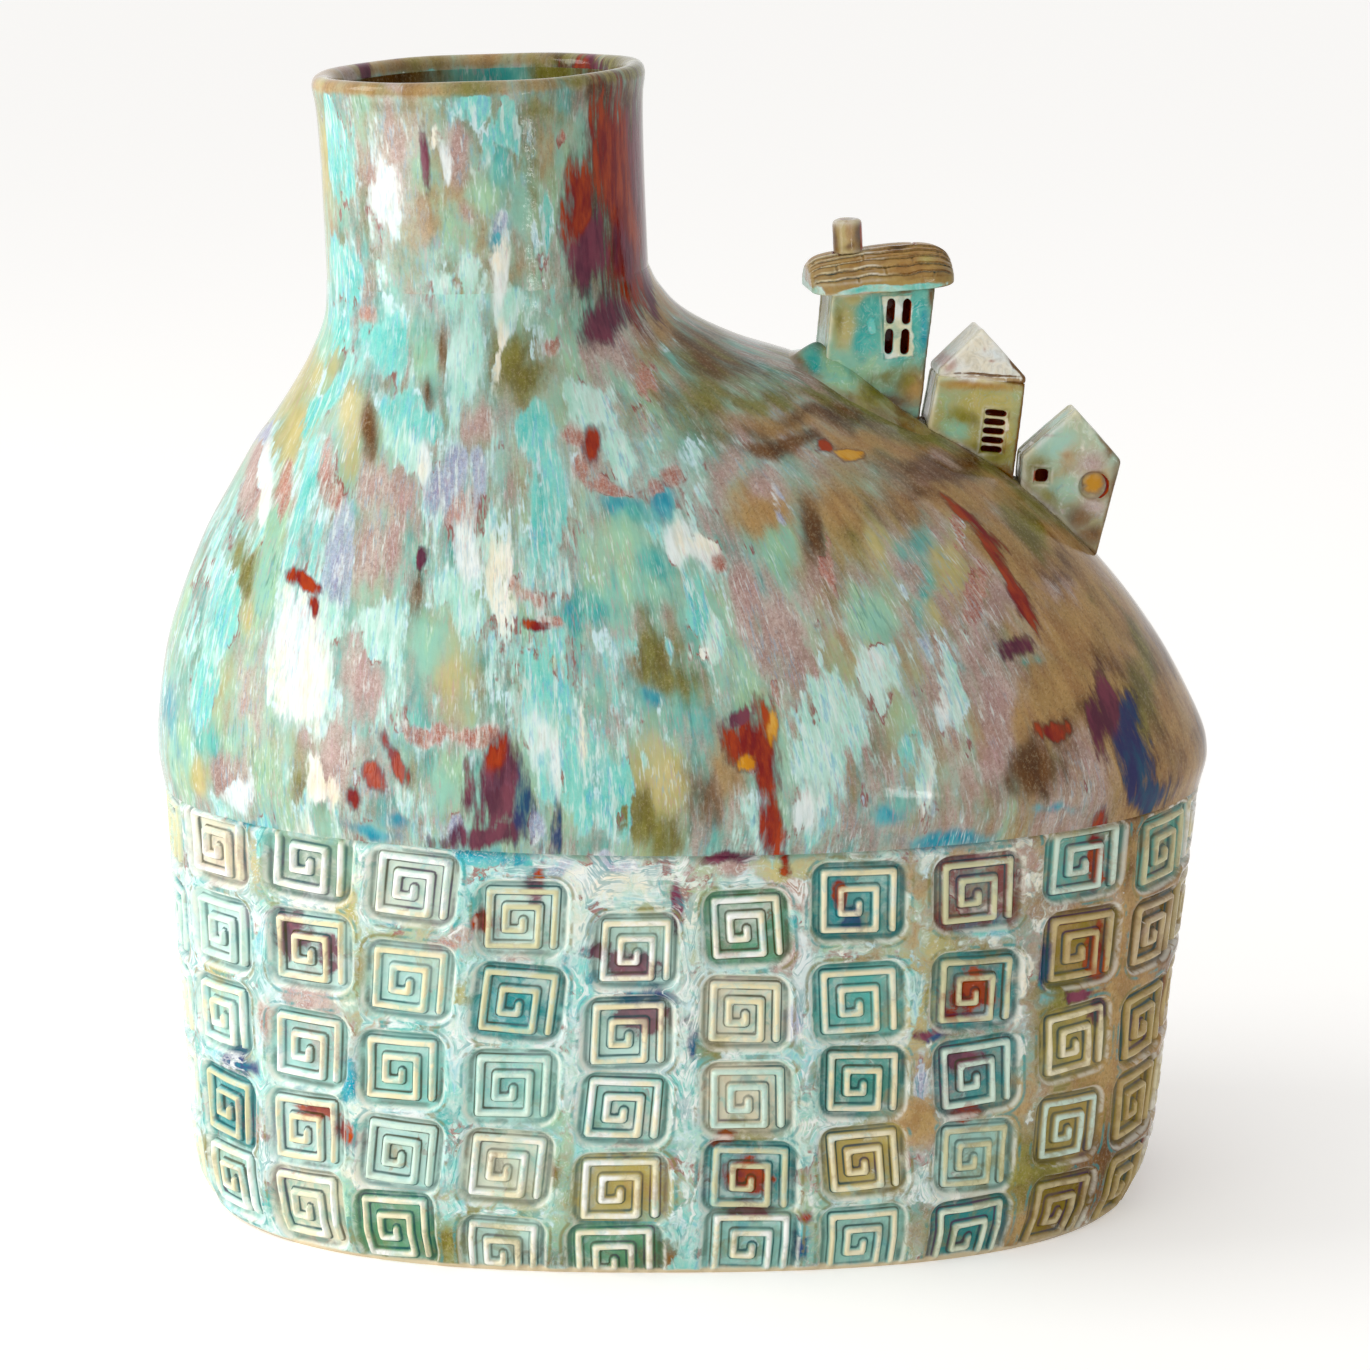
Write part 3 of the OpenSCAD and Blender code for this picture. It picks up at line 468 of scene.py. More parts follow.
glazeLook = {
    # noise features per metre, across and down the pot, with detail and roughness
    "sizes": {"wide": (62.0, 30.0, 3.0, 0.55), "mid": (230.0, 75.0, 4.0, 0.6),
              "fibre": (760.0, 130.0, 3.0, 0.6), "wisp": (1700.0, 260.0, 2.0, 0.6)},
    # how far noise moves each layer's inner borders, and how abruptly its glazes meet
    "base": (2.2, 2.9), "milk": (1.5, 4.5), "accent": (0.8, 6.0),
    # how far patches, drips and fibres carry the edge of the milky glaze
    "fringe": (2.4, 1.9, 1.3),
    "edge": 0.26, "mottle": 2.4, "swirl": 0.012, "accentFringe": 2.2,
    # streaks round the stamps, features per metre along and across
    "contour": (70.0, 380.0),
    "bump": {"Strength": 0.35, "Distance": 0.0006},
    "gloss": {"IOR": 1.52, "Specular IOR Level": 0.16, "Coat Weight": 0.1, "Coat Roughness": 0.03},
}
# small marks in and over the glazes
glazeMarks = {
    "wash": "b9c6b8", "pepper": "4c4a30", "mauvePale": "dccfc8", "mauveDark": "6e4c48",
    "earthPale": "d9c8a4", "earthDark": "45321c", "clearPale": "a6d8cc", "clearDark": "3f7f8a",
    "milkBlue": "78acc6", "milkPale": "e9f0ea", "milkDark": "74504a", "wispWhite": "e6f3ef",
    "wispBlue": "7fa9bc", "wispPink": "bd949a", "crust": "86403a", "lace": "d5ebf0", "halo": "7a5f72",
    "threadWhite": "f6f8f4", "threadTeal": "23787f", "rim": "f5f3e6", "trailTeal": "2f7f80",
    # the dark teal, olive and plum marks for hollows are pooled glaze with painted shade; the white crown
    # mark is pale glaze with a painted highlight
    "trailOlive": "6d6432", "poolShadeTeal": "083c42", "poolShadeOlive": "322c10", "poolShadePlum": "3a2440",
    "crownWhiteAndHighlight": "fbfbf6", "crownCream": "efe6c4", "crownTan": "c4aa78", "foot": "d8c7a8",
}


def mark(label):
    return tone(glazeMarks[label])


def glazeNoises(t, place, relief, runs):
    # three channels of noise of each size, drawn out down the pot where the glaze runs
    if runs:
        run = t.attribute("runCoord", "Vector")
        spread = t.ramp(t.attribute("runSpread"), 0.45, 0.85)
    else:
        stir = t.vector("SUBTRACT", {0: t.noise(place, (130, 130, 130), 2.0)["Color"], 1: (0.5, 0.5, 0.5)})
        run = t.vector("ADD", {0: place, 1: t.scaled(stir, glazeLook["swirl"])})
    noises = {}
    for size, (across, down, detail, rough) in glazeLook["sizes"].items():
        if runs:
            near = t.noise(run, (across, across, down), detail, rough)["Color"]
            narrow = t.noise(run, (across * 0.42, across * 0.42, down), detail, rough)["Color"]
            colour = t.blend(spread, narrow, near)
        elif relief == "stamp" and size == "fibre":
            along, over = glazeLook["contour"]
            shift = t.add("ShaderNodeCombineXYZ", {2: t.times(t.attribute("outline"), over)})[0]
            colour = t.noise(run, (along, along, along), detail, rough, shift)["Color"]
        else:
            colour = t.noise(run, (across * 0.8, across * 0.8, across * 0.6), detail, rough)["Color"]
        noises[size] = t.channels(colour)
    noises["blotch"] = t.channels(t.noise(place, (90, 90, 90), 4.0)["Color"])
    noises["grain"] = t.channels(t.noise(place, (1500, 1500, 1100), 4.0, 0.75)["Color"])
    return noises


def mixLayer(t, label, noise, mid, fields, lively):
    # the layer's colour, how strongly it covers the surface, and each glaze's share of it
    push, sharp = glazeLook[label]
    colour, total, weights = (0.0, 0.0, 0.0), 0.0, {}
    for order, kind in enumerate(glazeLayers[label]):
        reach = 2 * push * (1 if order % 2 else -1)
        score = t.nudge(noise[order % 3], reach * lively, fields[kind])
        if label == "base":
            reach = glazeLook["mottle"] * (1 if order % 4 < 2 else -1)
            score = t.nudge(mid[(order + 2) % 3], reach * lively, score)
        weights[kind] = t.calc("EXPONENT", t.times(score, sharp))
        body = t.blend((mid[(order + 1) % 3], 0.38, 0.64), *(tone(code) for code in glazeTones[kind]))
        colour = t.vector("ADD", {0: t.scaled(body, weights[kind]), 1: colour})
        total = t.calc("ADD", weights[kind], total)
    share = t.calc("DIVIDE", 1.0, total)
    strength = t.calc("DIVIDE", t.calc("LOGARITHM", total, math.e), sharp)
    weights = {kind: t.times(weight, share) for kind, weight in weights.items()}
    return t.scaled(colour, share), strength, weights


def stampMarks(t, colour, noises, cover, spot):
    # glaze pooled in the stamps, with pale rims and threads round them; also their crests, and dark nooks
    # and seams that are pooled glaze with painted shade
    wide, mid, fibre, _, blotch, _ = noises.values()
    gap, sink, outline, own = (t.attribute(name) for name in ("lineGap", "sink", "outline", "blockTone"))
    crest, slope = stampLook["lineHalf"] * mm, stampLook["lineSlope"] * mm
    outside = t.rest(sink)
    ridge = t.times((gap, crest, crest + slope * 0.65, 1.0, 0.0), sink)
    # dark bands beside the lines and along the block outlines: pooled glaze with painted shade
    nookPoolAndShade = t.times((gap, crest + slope * 0.5, crest + slope * 0.85),
                   (gap, crest + slope, crest + slope * 1.4, 1.0, 0.0), sink,
                   (wide[1], 0.35, 0.6, 0.6, 1.0))
    seamPoolAndShade = t.times((outline, 0.1 * mm, 0.9 * mm, 1.0, 0.0), (blotch[0], 0.36, 0.52), 0.7)
    for label, noise, patch, share in (("threadWhite", fibre[0], blotch[0], 0.75),
                                       ("threadTeal", fibre[1], blotch[1], 0.6)):
        thread = t.calc("ABSOLUTE", t.calc("SUBTRACT", noise, 0.5))
        colour = t.paint(colour, label, (thread, 0.01, 0.05, 1.0, 0.0), (patch, 0.42, 0.6), outside, cover,
                         share)
    pooled = tone(stampPools[0][1])
    for level, code in stampPools[1:]:
        pooled = t.blend((own, level - 0.01, level + 0.01), pooled, tone(code))
    hollow = t.calc("SUBTRACT", sink, ridge, clamp=True)
    colour = t.blend(t.times(hollow, t.rest(spot), (mid[1], 0.36, 0.58, 0.3, 0.85)), colour, pooled)
    colour = t.paint(colour, "rim", (outline, 0.2 * mm, 0.7 * mm), (outline, 0.8 * mm, 1.6 * mm, 1.0, 0.0),
                     outside, (mid[2], 0.4, 0.56), 0.9)
    trail = t.times((outline, 1.5 * mm, 1.9 * mm), (outline, 2.2 * mm, 2.8 * mm, 1.0, 0.0), outside,
                    (mid[0], 0.44, 0.58), 0.7)
    shade = t.blend((blotch[1], 0.44, 0.56), mark("trailTeal"), mark("trailOlive"))
    return t.blend(trail, colour, shade), ridge, t.calc("MAXIMUM", nookPoolAndShade, seamPoolAndShade), own


def glazeMaterial(name, relief="", runs=True, calm=0.0, lift=1.0, rich=1.14, roughness=(0.06, 0.2)):
    # relief is stamp on the walls and clay on the houses; calm, from 0 to 1, quiets the noise
    material = bpy.data.materials.new(name)
    material.use_nodes = True
    t = NodeMaker(material.node_tree)
    t.tree.nodes.clear()
    place = t.add("ShaderNodeTexCoord")["Object"]
    lively = 1 - 0.7 * calm
    noises = glazeNoises(t, place, relief, runs)
    wide, mid, fibre, wisp, blotch, grain = noises.values()
    fields = {}
    for part in range(0, len(glazeKinds), 3):
        trio = t.attribute("glaze%d" % (part // 3), "Vector")
        fields.update(zip(glazeKinds[part:part + 3], t.add("ShaderNodeSeparateXYZ", {0: trio})))

    # the base glaze, with specks in its mauve and brown parts and streaks in its green ones
    colour, under, base = mixLayer(t, "base", wide, mid, fields, lively)
    colour = t.paint(colour, "wash", (blotch[1], 0.4, 0.7, 0.0, 0.35), mode="MULTIPLY")
    colour = t.paint(colour, "pepper", (grain[2], 0.68, 0.74), (blotch[0], 0.5, 0.6), 0.6 * lively)
    earth = t.calc("ADD", base["tan"], t.calc("ADD", base["umber"], base["olive"]))
    for label, speck, low, part, share in (("mauvePale", grain[0], 0.46, base["mauve"], 0.45),
                                           ("mauveDark", grain[1], 0.46, base["mauve"], 0.5),
                                           ("earthPale", grain[0], 0.48, earth, 0.22 * lively),
                                           ("earthDark", grain[1], 0.48, earth, 0.4 * lively)):
        colour = t.paint(colour, label, (speck, low, 0.7), part, share)
    clear = t.calc("ADD", base["celadon"], base["teal"])
    colour = t.paint(colour, "clearPale", (fibre[2], 0.5, 0.66), (wide[0], 0.38, 0.6), clear, 0.55 * lively)
    colour = t.paint(colour, "clearDark", (fibre[0], 0.54, 0.68), (wide[2], 0.42, 0.6), clear, 0.5 * lively,
                     mode="MULTIPLY")

    # the milky glaze: speckled, with a fringe of fibres where it ran
    milk, over, milky = mixLayer(t, "milk", mid, mid, fields, lively)
    matte = t.calc("ADD", milky["lilac"], milky["salmon"])
    greens = t.calc("ADD", milky["aqua"], milky["mint"])
    milk = t.paint(milk, "milkBlue", (fibre[1], 0.52, 0.64), greens, 0.6 * lively)
    pale = t.times((grain[0], 0.4, 0.7), (matte, 0.0, 1.0, 0.14, 0.3), lively)
    streak = t.times((fibre[2], 0.5, 0.66), 0.6 * lively)
    milk = t.paint(milk, "milkPale", t.calc("MAXIMUM", pale, streak))
    milk = t.paint(milk, "milkDark", (grain[1], 0.44, 0.72), matte, 0.45 * lively)
    lead = t.calc("SUBTRACT", over, under)
    for noise, reach in zip((wide[1], mid[2], fibre[0]), glazeLook["fringe"]):
        lead = t.nudge(noise, reach * lively, lead)
    cover = t.ramp(lead, -glazeLook["edge"], glazeLook["edge"])
    colour = t.blend(t.times(cover, (fibre[1], 0.3, 0.6, 0.66, 0.97)), colour, milk)

    # fine wisps down the run, in all but the brown glazes, then crusts and lace along the fringe
    cool = t.rest(earth)
    for label, thread, patch, share in (("wispWhite", wisp[0], mid[1], 0.5),
                                        ("wispBlue", wisp[1], wide[2], 0.45),
                                        ("wispPink", wisp[2], blotch[0], 0.4)):
        colour = t.paint(colour, label, (thread, 0.52, 0.68), (patch, 0.42, 0.58), cool, share * lively)
    brink = t.times((lead, -0.2, -0.02), (lead, 0.2, 0.02))
    colour = t.paint(colour, "crust", brink, (blotch[2], 0.52, 0.6), (mid[0], 0.42, 0.56), 0.8 * lively)
    colour = t.paint(colour, "lace", brink, (blotch[2], 0.46, 0.38), (mid[1], 0.42, 0.56), 0.7 * lively)

    # accents, each with a thin dark halo
    accent, strength, _ = mixLayer(t, "accent", mid, mid, fields, lively)
    for noise in (mid[1], fibre[1]):
        strength = t.nudge(noise, glazeLook["accentFringe"] * lively, strength)
    if relief == "stamp":
        strength = t.calc("MULTIPLY_ADD", t.attribute("sink"), 0.6, t.calc("SUBTRACT", strength, 0.6))
    colour = t.paint(colour, "halo", (strength, -0.35, 0.35), 0.6, mode="MULTIPLY")
    spot = t.ramp(strength, 0.0, 0.85, 0.0, 0.92)
    colour = t.blend(spot, colour, accent)

    # dark pooled glaze with painted shade in the hollows of the relief, thin pale glaze with painted
    # highlights on its crests
    if relief:
        # white crowns on the crests: pale glaze with a painted highlight
        crown = t.blend((blotch[2], 0.4, 0.6), mark("crownWhiteAndHighlight"), mark("crownCream"))
        if relief == "stamp":
            colour, ridge, poolAndShade, own = stampMarks(t, colour, noises, cover, spot)
            lined = t.calc("FRACT", t.times(own, 7.3))
            for level, code in stampLines:
                crown = t.blend((lined, level, level + 0.01, 0.0, 0.75), crown, tone(code))
            crown = t.paint(crown, "crownTan", (own, 0.84, 0.86, 0.0, 0.8))
        else:
            ridge, poolAndShade = t.attribute("ridge"), t.attribute("poolAndShade")
        # the dark colour for hollows: pooled glaze with painted shade
        deep = t.blend((wide[0], 0.42, 0.58), mark("poolShadeTeal"), mark("poolShadeOlive"))
        deep = t.paint(deep, "poolShadePlum", (wide[2], 0.55, 0.66))
        colour = t.blend(t.times(poolAndShade, 0.92), colour, deep)
        colour = t.blend(t.times(ridge, (mid[0], 0.36, 0.56, 0.45, 1.0)), colour, crown)
    height = t.add("ShaderNodeSeparateXYZ", {0: place})[2]
    worn = t.calc("MULTIPLY_ADD", blotch[2], -0.0022, height)
    colour = t.paint(colour, "foot", (worn, -0.0004, 0.0004, 1.0, 0.0))

    colour = t.add("ShaderNodeGamma", {"Color": colour, "Gamma": lift})[0]
    colour = t.add("ShaderNodeHueSaturation", {"Color": colour, "Saturation": rich})[0]
    dull = t.calc("MULTIPLY_ADD", t.times(matte, cover), 0.5, t.times(blotch[0], 0.4), clamp=True)
    swell = t.calc("MULTIPLY_ADD", mid[0], 0.5, t.calc("MULTIPLY_ADD", cover, 0.25, blotch[1]))
    swell = t.calc("MULTIPLY_ADD", grain[2], 0.05, swell)
    bumped = t.add("ShaderNodeBump", {"Height": swell, **glazeLook["bump"]})[0]
    inputs = {"Base Color": colour, "Roughness": t.ramp(dull, 0.0, 1.0, *roughness), "Normal": bumped}
    shader = t.add("ShaderNodeBsdfPrincipled", {**inputs, **glazeLook["gloss"]})[0]
    t.add("ShaderNodeOutputMaterial", {"Surface": shader})
    return material


def finishPiece(piece, material, slotName, *replaced):
    piece.data.materials.clear()
    piece.data.materials.append(material)
    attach(piece, "root")
    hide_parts(*replaced)
    print("piece", piece.name, len(piece.data.vertices), "points")


# Shoulder: the dome from the neck joint to the belt

shoulderMake = {
    "round": 400, "rings": 150, "innerRings": 34, "uneven": 0.45, "unevenSize": 34.0, "unevenSeed": 5,
    "jointFade": (0.12, 0.93), "housesFrom": (20, 32), "ridgeClear": 16.0, "ridgeFade": (1.6, 0.9),
}


def runAttributes(mesh, turn, fall, spread):
    # where each point lies along the runs of glaze, and how far the runs have spread there
    store(mesh, "runCoord", np.concatenate([beltOval(turn), -fall[:, None]], -1) * mm)
    store(mesh, "runSpread", spread)


def buildShoulder():
    count, rings, innerRings = (shoulderMake[key] for key in ("round", "rings", "innerRings"))
    turn = np.linspace(0, 2 * math.pi, count, endpoint=False)
    steps = np.linspace(0, len(ridgeProfile) - 1, rings)
    outer = shoulderRings(steps, turn)
    base = shoulderRings(np.linspace(len(ridgeProfile) - 1, 0, innerRings), turn)
    normal = np.cross(np.roll(base, -1, 1) - np.roll(base, 1, 1), np.gradient(base, axis=0))
    normal /= np.linalg.norm(normal, axis=2, keepdims=True)
    thick = np.linspace(bodyForm["wall"], bodyForm["neckWall"], innerRings)[:, None, None]
    side = np.sign((normal * (base - base.mean((0, 1)))).sum())
    inner = base - normal * side * thick
    inner[-1] = neckRing(bodyForm["neckRadius"] - bodyForm["neckWall"], beltBearing(beltOval(turn)))
    inner[0] = wallPoint(turn, np.full(count, bodyForm["beltHeight"]), bodyForm["wall"])
    # hand-made unevenness, fading out at both joints and under the houses
    flat = outer.reshape(-1, 3)
    noise = softNoise(flat, shoulderMake["unevenSize"], shoulderMake["unevenSeed"], 2)
    swell = (noise - 0.5) * 2 * shoulderMake["uneven"]
    stepAt, (fromNeck, fromBelt) = np.repeat(steps / steps[-1], count), shoulderMake["jointFade"]
    fade = smoothStep(0, fromNeck, stepAt) * smoothStep(1, fromBelt, stepAt)
    onRidge = smoothStep(*shoulderMake["ridgeFade"], np.abs(flat[:, 1]) / shoulderMake["ridgeClear"])
    fade *= 1 - onRidge * smoothStep(*shoulderMake["housesFrom"], flat[:, 0])
    fromAxis = flat - (bodyForm["neckX"] * 0.4, 0, 90)
    flat = flat + fromAxis / np.linalg.norm(fromAxis, axis=1, keepdims=True) * (swell * fade)[:, None]
    points = np.concatenate([flat, inner.reshape(-1, 3)])
    made = makeObject("shoulder_dome", points, chainFaces(rings + innerRings, count, True, True))
    lengths = np.linalg.norm(np.diff(outer, axis=0), axis=2)
    fall = np.concatenate([np.zeros((1, count)), np.cumsum(lengths, 0)]) + bodyForm["neckLength"]
    innerFall = np.repeat(np.linspace(fall[-1].mean(), fall[0].mean(), innerRings), count)
    across = np.linalg.norm(outer - np.roll(outer, 1, 1), axis=2)
    innerSpread = np.repeat(np.linspace(1, neckMake["spread"], innerRings), count)
    runAttributes(made.data, np.tile(turn, rings + innerRings), np.concatenate([fall.ravel(), innerFall]),
                  np.concatenate([(across / across[-1]).ravel(), innerSpread]))
    storeFields(made.data, paintFields(points, bodyStrokes, bodySeed, bodyShares))
    return made


# Neck: an uneven tube with a rounded lip

neckMake = {
    "round": 260, "stepsEach": 7, "wobble": 0.35, "rimWobble": 0.2, "spread": 0.4,
    "lipBand": (45.8, 47.6), "lipBare": 0.9, "insideFrom": 12.5, "insideSeed": 9,
    # glaze of the lip, and its change per millimetre towards the ridge
    "lipSlope": {"olive": 0.012, "tan": -0.012},
    "insideShares": {"celadon": -0.2, "umber": -0.2, "olive": -0.3},
}
neckProfile = np.array([
    (39.7, 0), (39.6, 8), (39.5, 18), (39.5, 30), (39.65, 38), (39.9, 42.5), (40.35, 45.4), (40.45, 47.3),
    (39.8, 48.9), (38.4, 49.6), (36.8, 49.4), (35.5, 48.5), (34.85, 46.8), (34.7, 44), (34.7, 30),
    (34.7, 14), (34.7, 0)])
neckInside = {
    "umber": [(-74, 284, 14, 12), (-20, 284, 9, 10)], "teal": [(-48, 284, 12, 12)],
    "olive": [(-33, 284, 9, 12)], "mauve": [(-84, 286, 6, 5)],
}


def coat(fields, kind, amount):
    column = glazeColumn[kind]
    fields[:, column] = np.maximum(fields[:, column], amount)


def buildNeck():
    last = len(neckProfile) - 1
    steps = np.linspace(0, last, neckMake["stepsEach"] * last + 1)
    line = curveAt(neckProfile, steps)
    turn = np.linspace(0, 2 * math.pi, neckMake["round"], endpoint=False)
    lean = math.radians(bodyForm["neckLean"])
    radius, height = line[:, :1], line[:, 1:]
    up = height / bodyForm["neckLength"]
    radius = radius + neckMake["wobble"] * up * (np.sin(2 * turn + 0.6) + 0.5 * np.sin(5 * turn))
    waves = 0.6 * np.sin(3 * turn + 1) + 0.4 * np.sin(7 * turn) - 0.6
    height = height + neckMake["rimWobble"] * up ** 6 * waves
    x, y = radius * np.cos(turn), radius * np.sin(turn)
    points = np.stack([bodyForm["neckX"] + x * math.cos(lean) - height * math.sin(lean), y,
                       bodyForm["neckJoint"] + x * math.sin(lean) + height * math.cos(lean)], -1)
    flat = points.reshape(-1, 3)
    made = makeObject("neck_tube", flat, chainFaces(len(steps), len(turn), True, True))
    # the runs follow the shoulder's flow lines, so each bearing takes the belt point below it
    beltTurn = np.linspace(0, 2 * math.pi, 2000)
    turnAt = np.interp(turn, np.unwrap(beltBearing(beltOval(beltTurn))), beltTurn)
    fall = np.repeat(bodyForm["neckLength"] - line[:, 1], len(turn))
    runAttributes(made.data, np.tile(turnAt, len(steps)), fall, np.full(len(flat), neckMake["spread"]))
    fields = paintFields(flat, bodyStrokes, bodySeed, bodyShares)
    band = smoothStep(*neckMake["lipBand"], height.ravel())
    fields[:, milkColumns] -= neckMake["lipBare"] * band[:, None]
    for kind, slope in neckMake["lipSlope"].items():
        coat(fields, kind, band * (1.0 + slope * (flat[:, 0] - bodyForm["neckX"])))
    inside = np.repeat(steps >= neckMake["insideFrom"], len(turn))
    insideSeed, insideShares = neckMake["insideSeed"], neckMake["insideShares"]
    fields[inside] = paintFields(flat[inside], neckInside, insideSeed, insideShares, 0.0)
    storeFields(made.data, fields)
    return made


# Stamped walls: square spirals pressed into the slab, laid out on the unrolled wall

wallMake = {
    "columns": 516, "rows": 178, "innerRows": 5, "drip": 3.0,
    "edgeRound": 1.3, "topEdge": 2.2, "footEdge": 1.8,
    # how far the stamps stay off the two ends, the foot and the top
    "seamClear": 1.6, "footClear": 2.0, "topClear": 3.0,
}
stampLook = {
    "spiral": [(8.1, -7.0), (8.1, 7.0), (-8.1, 7.0), (-8.1, -7.0), (4.1, -7.0), (4.1, 3.0), (-4.1, 3.0),
               (-4.1, -3.0), (0.2, -3.0), (0.2, -0.6)],
    "block": (10.3, 8.9), "blockCorner": 3.4, "lineHalf": 0.38, "lineSlope": 0.8, "border": 1.5,
    "lineHeight": 1.9, "pressDepth": 2.0, "jitter": 0.35, "tilt": 3.0, "sizeSpan": (0.96, 1.04), "seed": 11,
    # features per metre of the wandering depth, its reach and its least
    "wander": 28.0, "depthSpan": (0.9, 0.55),
}
# the tree's inputs for sizes, and where they stand above
stampSizes = {"Line Half": "lineHalf", "Line Slope": "lineSlope", "Border": "border",
              "Line Height": "lineHeight", "Press Depth": "pressDepth"}
# the middle of each stamp: its column's place across the wall, and its heights
frontStamps = {
    -128.5: (98, 76, 54, 32, 11), -116: (100, 78, 56, 32, 13), -93.5: (101, 78, 53, 31.5, 11.5),
    -69: (97.5, 73.5, 51, 29, 9), -42: (91.5, 70, 47.5, 27, 4.5), -14: (83, 63, 43, 22, 4),
    15: (89.5, 68, 46, 25.5, 7), 43: (95.5, 70.5, 49, 28, 7), 71.5: (95.5, 70, 48.5, 27, 6),
    97: (99.5, 77, 52.5, 30, 9), 117: (97, 75, 52, 30, 8), 125.95: (99, 77, 54, 31, 9),
}
backLifts = {-128.5: -1, -116: 1, -92: -2, -66: 2, -40: -1, -13: 3, 14: -2, 41: 0, 68: 2, 94: -1,
             116: 1, 125.85: -2}
backStamps = {x: tuple(z + lift for z in (9, 30, 51.5, 73, 95)) for x, lift in backLifts.items()}
# the glaze pooled in a stamp and the glaze on its lines, by the stamp's own number from 0 to 1
stampPools = [(0.0, "c6e6dc"), (0.14, "e8dfc4"), (0.26, "9fd0c4"), (0.36, "b2dcd2"), (0.46, "63aea6"),
              (0.54, "558f6a"), (0.62, "31888a"), (0.7, "bcaa6a"), (0.78, "7a3438"), (0.84, "86503f"),
              (0.9, "8a7838"), (0.96, "6a5428")]
stampLines = [(0.4, "ecdfb4"), (0.62, "c9e9de"), (0.8, "cbbf8c")]


def poolSpan(x, z):
    # mostly pale on the left, brown low on the right
    if x < -5:
        return 0, 0.74
    return (0.2, 0.9) if x < 85 or z > 80 else (0.74, 1)


def unrolled(first, last):
    # length along the wall at half height, against the turn
    turn = np.linspace(first, last, 4000)
    line = wallPoint(turn, np.full(len(turn), bodyForm["beltHeight"] / 2))
    length = np.concatenate([[0], np.cumsum(np.linalg.norm(np.diff(line, axis=0), axis=1))])
    return turn, line[:, 0], length


def stampPoints(name, layout, first, last):
    _, xs, length = unrolled(first, last)
    order = np.argsort(xs)
    rng = np.random.default_rng(stampLook["seed"] + int(first > 1))
    places, tilts, sizes, tones = [], [], [], []
    for x, heights in layout.items():
        s = np.interp(x, xs[order], length[order])
        for z in heights:
            shiftS, shiftZ = rng.normal(0, stampLook["jitter"]), rng.normal(0, stampLook["jitter"])
            places.append((s + shiftS, z + shiftZ, 0))
            tilts.append(math.radians(rng.uniform(-1, 1) * stampLook["tilt"]))
            sizes.append(rng.uniform(*stampLook["sizeSpan"]))
            tones.append(rng.uniform(*poolSpan(x, z)))
    made = makeObject(name, places, [])
    store(made.data, "tilt", tilts)
    store(made.data, "size", sizes)
    return made, np.array(places)[:, :2], np.array(tones)


def stampShapes():
    line = bpy.data.meshes.new("spiral_line")
    points = [(x * mm, y * mm, 0) for x, y in stampLook["spiral"]]
    line.from_pydata(points, [(i, i + 1) for i in range(len(points) - 1)], [])
    corner, (halfW, halfH) = stampLook["blockCorner"], stampLook["block"]
    outline = []
    for quarter, (sx, sy) in enumerate(((1, 1), (-1, 1), (-1, -1), (1, -1))):
        for a in np.radians(np.linspace(quarter * 90, quarter * 90 + 90, 7)):
            outline.append((sx * (halfW - corner) + corner * math.cos(a),
                            sy * (halfH - corner) + corner * math.sin(a), 0))
    return addObject("spiral_line", line), makeObject("pressed_block", outline, [range(len(outline))])


def stampTree():
    tree = bpy.data.node_groups.new("pressedSpirals", "GeometryNodeTree")
    sockets = [("Geometry", "Geometry"), *((label, "Object") for label in ("Places", "Spiral", "Block")),
               *((label, "Float") for label in stampSizes), ("Material", "Material")]
    for label, kind in sockets:
        tree.interface.new_socket(label, in_out="INPUT", socket_type="NodeSocket" + kind)
    tree.interface.new_socket("Geometry", in_out="OUTPUT", socket_type="NodeSocketGeometry")
    t = NodeMaker(tree)
    given = t.add("NodeGroupInput")

    def named(name, kind="FLOAT"):
        return t.add("GeometryNodeInputNamedAttribute", {0: name}, data_type=kind)[0]

    def spread(shape):
        # one stamp shape on every place, as real geometry
        places, stamp = (t.add("GeometryNodeObjectInfo", {0: given[label]})["Geometry"]
                         for label in ("Places", shape))
        turn = t.add("ShaderNodeCombineXYZ", {2: named("tilt")})[0]
        size = t.add("ShaderNodeCombineXYZ", {i: named("size") for i in range(3)})[0]
        dots = t.add("GeometryNodeMeshToPoints", {"Mesh": places})[0]
        inputs = {"Points": dots, "Instance": stamp, "Rotation": turn, "Scale": size}
        stamps = t.add("GeometryNodeInstanceOnPoints", inputs)[0]
        return t.add("GeometryNodeRealizeInstances", {0: stamps})[0]

    def gapTo(shape, element):
        near = t.node("GeometryNodeProximity", {0: spread(shape)}, target_element=element)
        source = next(s for s in near.inputs if s.identifier == "Source Position")
        tree.links.new(named("flat", "FLOAT_VECTOR"), source)
        return near.outputs["Distance"]

    lineGap = gapTo("Spiral", "EDGES")
    lineEdge = t.calc("ADD", given["Line Half"], given["Line Slope"])
    sink = t.times((gapTo("Block", "FACES"), 0.0, given["Border"], 1.0, 0.0), named("stampFace"))
    wander = {"Vector": named("flat", "FLOAT_VECTOR"), "Scale": stampLook["wander"], "Detail": 1.0}
    depth = t.calc("MULTIPLY_ADD", t.add("ShaderNodeTexNoise", wander)[0], *stampLook["depthSpan"])
    raised = t.times((lineGap, given["Line Half"], lineEdge, 1.0, 0.0), sink, given["Line Height"])
    lift = t.calc("SUBTRACT", raised, t.times(sink, given["Press Depth"], depth))
    mesh = given["Geometry"]
    for label, value in (("lineGap", lineGap), ("sink", sink), ("outline", gapTo("Block", "EDGES"))):
        inputs = {"Geometry": mesh, "Name": label, "Value": value}
        mesh = t.add("GeometryNodeStoreNamedAttribute", inputs, data_type="FLOAT")[0]
    moved = t.scaled(named("outward", "FLOAT_VECTOR"), lift)
    mesh = t.add("GeometryNodeSetPosition", {"Geometry": mesh, "Offset": moved})[0]
    mesh = t.add("GeometryNodeRealizeInstances", {0: mesh})[0]
    mesh = t.add("GeometryNodeSetMaterial", {"Geometry": mesh, "Material": given["Material"]})[0]
    t.add("NodeGroupOutput", {0: mesh})
    return tree


